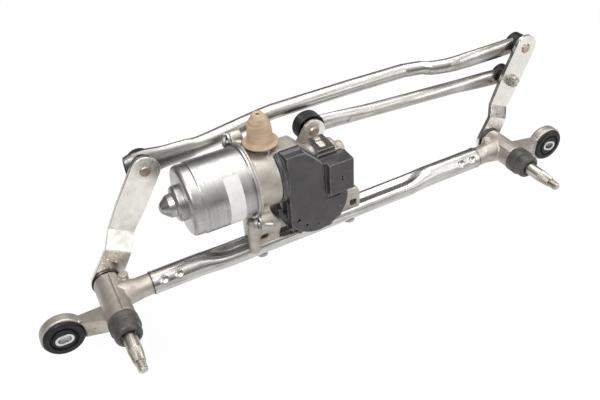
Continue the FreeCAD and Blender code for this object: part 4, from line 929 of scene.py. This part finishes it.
roundedLook = {
    "left_lever": {"edge": 0.55, "steps": 3, "punches": ((1.5, 20.8), (6.6, 22.6), (12.6, 17.2))},
    "right_lever": {"edge": 0.55, "steps": 3,
                    "punches": ((421.2, 31.0), (411.4, 25.4), (418.6, 25.6), (426.4, 25.2), (415.8, 29.0))},
    "crank_arm": {"edge": 0.5, "steps": 3},
    "left_grommet": {"edge": 0.3, "steps": 2},
    "right_grommet": {"edge": 0.3, "steps": 2},
    "left_eye_bush": {"edge": 0.3, "steps": 2},
    "right_eye_bush": {"edge": 0.3, "steps": 2},
    "mid_stud_nut": {"edge": 0.35, "steps": 2},
    "crank_nut": {"edge": 0.4, "steps": 2},
    "motor_can": {"edge": 0.4, "steps": 2},
}
roundedAngles = {"flat": 0.6, "bevel": 28, "smooth": 32}


def makeRounded(node, look, angles):
    piece = mergedCopy(node, node + "_rounded")
    editMode(piece)
    bpy.ops.mesh.dissolve_limited(angle_limit=math.radians(angles["flat"]))
    objectMode()
    addModifier(piece, "BEVEL", width=look["edge"] * mm, segments=look["steps"], limit_method="ANGLE",
                angle_limit=math.radians(angles["bevel"]), use_clamp_overlap=True)
    addMarks(piece, look.get("punches", ()), markLook["punchRadius"], markLook["punchProud"], markLook)
    smoothBy(piece, angles["smooth"])
    addModifier(piece, "WEIGHTED_NORMAL", keep_sharp=True)
    finishPiece(piece, node)
    return piece


for nodeName, look in roundedLook.items():
    made = makeRounded(nodeName, look, roundedAngles)
    print("rounded", made.name, len(made.data.polygons), "faces")


# Label: a bare pale patch around part of the motor can

labelLook = {
    "left": 105.5, "right": 119.0, "from": 129.0, "to": 224.0, "axis": (50.0, 74.6), "canRadius": 31.5,
    "lift": 0.06, "thick": 0.12, "corner": 2.0, "cornerSteps": 5, "sides": 180, "crease": 30,
}


def makeLabel(look):
    axisY, axisZ = look["axis"]
    piece = newPrimitive(bpy.ops.mesh.primitive_cylinder_add, "label", vertices=look["sides"],
                         radius=(look["canRadius"] + look["lift"]) * mm,
                         depth=(look["right"] - look["left"]) * mm, end_fill_type="NOTHING")
    placePiece(piece, (0, 90, 0), ((look["left"] + look["right"]) / 2, axisY, axisZ))
    editMode(piece)
    bpy.ops.mesh.select_all(action="DESELECT")
    mesh = bmesh.from_edit_mesh(piece.data)
    for face in mesh.faces:
        middle = face.calc_center_median() / mm
        angle = math.degrees(math.atan2(middle.z - axisZ, middle.y - axisY)) % 360
        face.select = not look["from"] < angle < look["to"]
    bmesh.update_edit_mesh(piece.data)
    bpy.ops.mesh.delete(type="FACE")
    bpy.ops.mesh.select_all(action="DESELECT")
    mesh = bmesh.from_edit_mesh(piece.data)
    for point in mesh.verts:
        point.select = len(point.link_edges) == 2
    bmesh.update_edit_mesh(piece.data)
    bpy.ops.mesh.bevel(offset=look["corner"] * mm, segments=look["cornerSteps"], affect="VERTICES")
    objectMode()
    addModifier(piece, "SOLIDIFY", thickness=look["thick"] * mm, offset=-1.0)
    smoothBy(piece, look["crease"])
    piece.data.materials.append(finishes["labelPaper"])
    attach(piece, bodyOfNode["motor_can"])
    return piece


print("label", makeLabel(labelLook).name)


# Camera, at the photograph's viewing angle

cameraLook = {
    "azimuth": 25.07, "elevation": 37.87, "roll": -4.02, "place": (-22.9, -388.0, 408.6), "lens": 40.09,
    "sensor": 36, "clip": (0.01, 20),
}


def makeCamera(look):
    data = bpy.data.cameras.new("camera")
    data.lens = look["lens"]
    data.sensor_width = look["sensor"]
    data.clip_start, data.clip_end = look["clip"]
    camera = bpy.data.objects.new("camera", data)
    bpy.context.scene.collection.objects.link(camera)
    turn = Matrix.Rotation(math.radians(-look["azimuth"]), 4, "Z")
    tilt = Matrix.Rotation(math.radians(90 - look["elevation"]), 4, "X")
    roll = Matrix.Rotation(math.radians(look["roll"]), 4, "Z")
    camera.matrix_world = Matrix.Translation(Vector(look["place"]) * mm) @ turn @ tilt @ roll
    bpy.context.scene.camera = camera


makeCamera(cameraLook)
print("camera placed")


# Floor, sky and lamps

stageLook = {
    "floorDrop": 0.030, "floorSize": 2.0, "floorPlace": (0.2, 0.05), "floorShare": 0.92, "paper": 0.93,
    "diffuseSky": 0.60,
    "sky": ((0.0, 0.10), (0.25, 0.20), (0.50, 0.45), (0.66, 0.75), (0.80, 1.0), (1.0, 1.0)),  # height, level
    "backSpan": (0.10, 0.75), "backShade": 0.38,
    "panels": (
        {"aim": (0.575, -0.775, 0.26), "edge": (0.955, 0.980), "light": 1.8},
        {"aim": (0.30, -0.38, 0.87), "edge": (0.975, 0.990), "light": 3.2},
    ),
}


def whiteMask(tree):
    # Camera and transmission rays see plain white
    path = tree.nodes.new("ShaderNodeLightPath").outputs
    seen = arithmetic(tree, "MAXIMUM", path["Is Camera Ray"], path["Is Transmission Ray"])
    return path, seen


def mixShaders(tree, factor, first, second):
    made = tree.nodes.new("ShaderNodeMixShader")
    tree.links.new(factor, made.inputs["Fac"])
    tree.links.new(first, made.inputs[1])
    tree.links.new(second, made.inputs[2])
    return made.outputs["Shader"]


def makeFloor(look):
    x, y = look["floorPlace"]
    low = cadBounds[0].z - look["floorDrop"]
    floor = newPrimitive(bpy.ops.mesh.primitive_plane_add, "floor", size=look["floorSize"],
                         location=(x, y, low))
    material = bpy.data.materials.new("floorPaper")
    material.use_nodes = True
    tree = material.node_tree
    tree.nodes.clear()
    path, seen = whiteMask(tree)
    both = arithmetic(tree, "MAXIMUM", seen, path["Is Glossy Ray"])
    share = arithmetic(tree, "MULTIPLY", both, look["floorShare"])
    paper = tree.nodes.new("ShaderNodeBsdfDiffuse")
    paper.inputs["Color"].default_value = (look["paper"], look["paper"], look["paper"], 1)
    white = tree.nodes.new("ShaderNodeEmission")
    surface = mixShaders(tree, share, paper.outputs["BSDF"], white.outputs["Emission"])
    tree.links.new(surface, tree.nodes.new("ShaderNodeOutputMaterial").inputs["Surface"])
    floor.data.materials.append(material)


def skyDome(tree, look):
    # What gloss reflects: grey at the horizon, white above, darker behind, with two bright panels
    direction = tree.nodes.new("ShaderNodeTexCoord").outputs["Generated"]
    parts = tree.nodes.new("ShaderNodeSeparateXYZ")
    tree.links.new(direction, parts.inputs["Vector"])
    ramp = tree.nodes.new("ShaderNodeValToRGB")
    stops = ramp.color_ramp.elements
    stops.remove(stops[1])
    for height, level in look["sky"]:
        stop = stops.new(height)
        stop.color = (level, level, level, 1)
    stops.remove(stops[0])
    tree.links.new(parts.outputs["Z"], ramp.inputs["Fac"])
    shade = remap(tree, parts.outputs["Y"], look["backSpan"], (1.0, look["backShade"]))
    dome = arithmetic(tree, "MULTIPLY", ramp.outputs["Color"], shade)
    for panel in look["panels"]:
        aim = tree.nodes.new("ShaderNodeVectorMath")
        aim.operation = "DOT_PRODUCT"
        tree.links.new(direction, aim.inputs[0])
        aim.inputs[1].default_value = Vector(panel["aim"]).normalized()
        lit = remap(tree, aim.outputs["Value"], panel["edge"], (0.0, panel["light"]))
        dome = arithmetic(tree, "MAXIMUM", dome, lit)
    return dome


def makeSky(look):
    world = bpy.data.worlds.new("studio")
    bpy.context.scene.world = world
    world.use_nodes = True
    tree = world.node_tree
    tree.nodes.clear()
    path, seen = whiteMask(tree)
    backgrounds = []
    for strength in (skyDome(tree, look), look["diffuseSky"], 1.0):
        background = tree.nodes.new("ShaderNodeBackground")
        background.inputs["Color"].default_value = (1, 1, 1, 1)
        feed(tree, background.inputs["Strength"], strength)
        backgrounds.append(background.outputs["Background"])
    glossy, soft, white = backgrounds
    lit = mixShaders(tree, path["Is Glossy Ray"], soft, glossy)
    surface = mixShaders(tree, seen, lit, white)
    tree.links.new(surface, tree.nodes.new("ShaderNodeOutputWorld").inputs["Surface"])


lamps = {
    "key": {"place": (-0.35, -0.55, 1.05), "size": 0.5, "power": 9.0},
    "top": {"place": (0.45, 0.30, 1.20), "size": 0.9, "power": 9.0},
    "side": {"place": (1.20, -0.60, 0.55), "size": 0.5, "power": 4.0},
}
lampTarget = (0.2, 0.05, 0.04)


def makeLamp(name, look):
    data = bpy.data.lights.new(name, "AREA")
    data.size = look["size"]
    data.energy = look["power"]
    lamp = bpy.data.objects.new(name, data)
    bpy.context.scene.collection.objects.link(lamp)
    lamp.location = look["place"]
    aim = Vector(lampTarget) - Vector(look["place"])
    lamp.rotation_mode = "QUATERNION"
    lamp.rotation_quaternion = aim.to_track_quat("-Z", "Y")


makeFloor(stageLook)
makeSky(stageLook)
for lampName, look in lamps.items():
    makeLamp(lampName, look)
bpy.context.scene.view_settings.view_transform = "Standard"

print("stage ready")
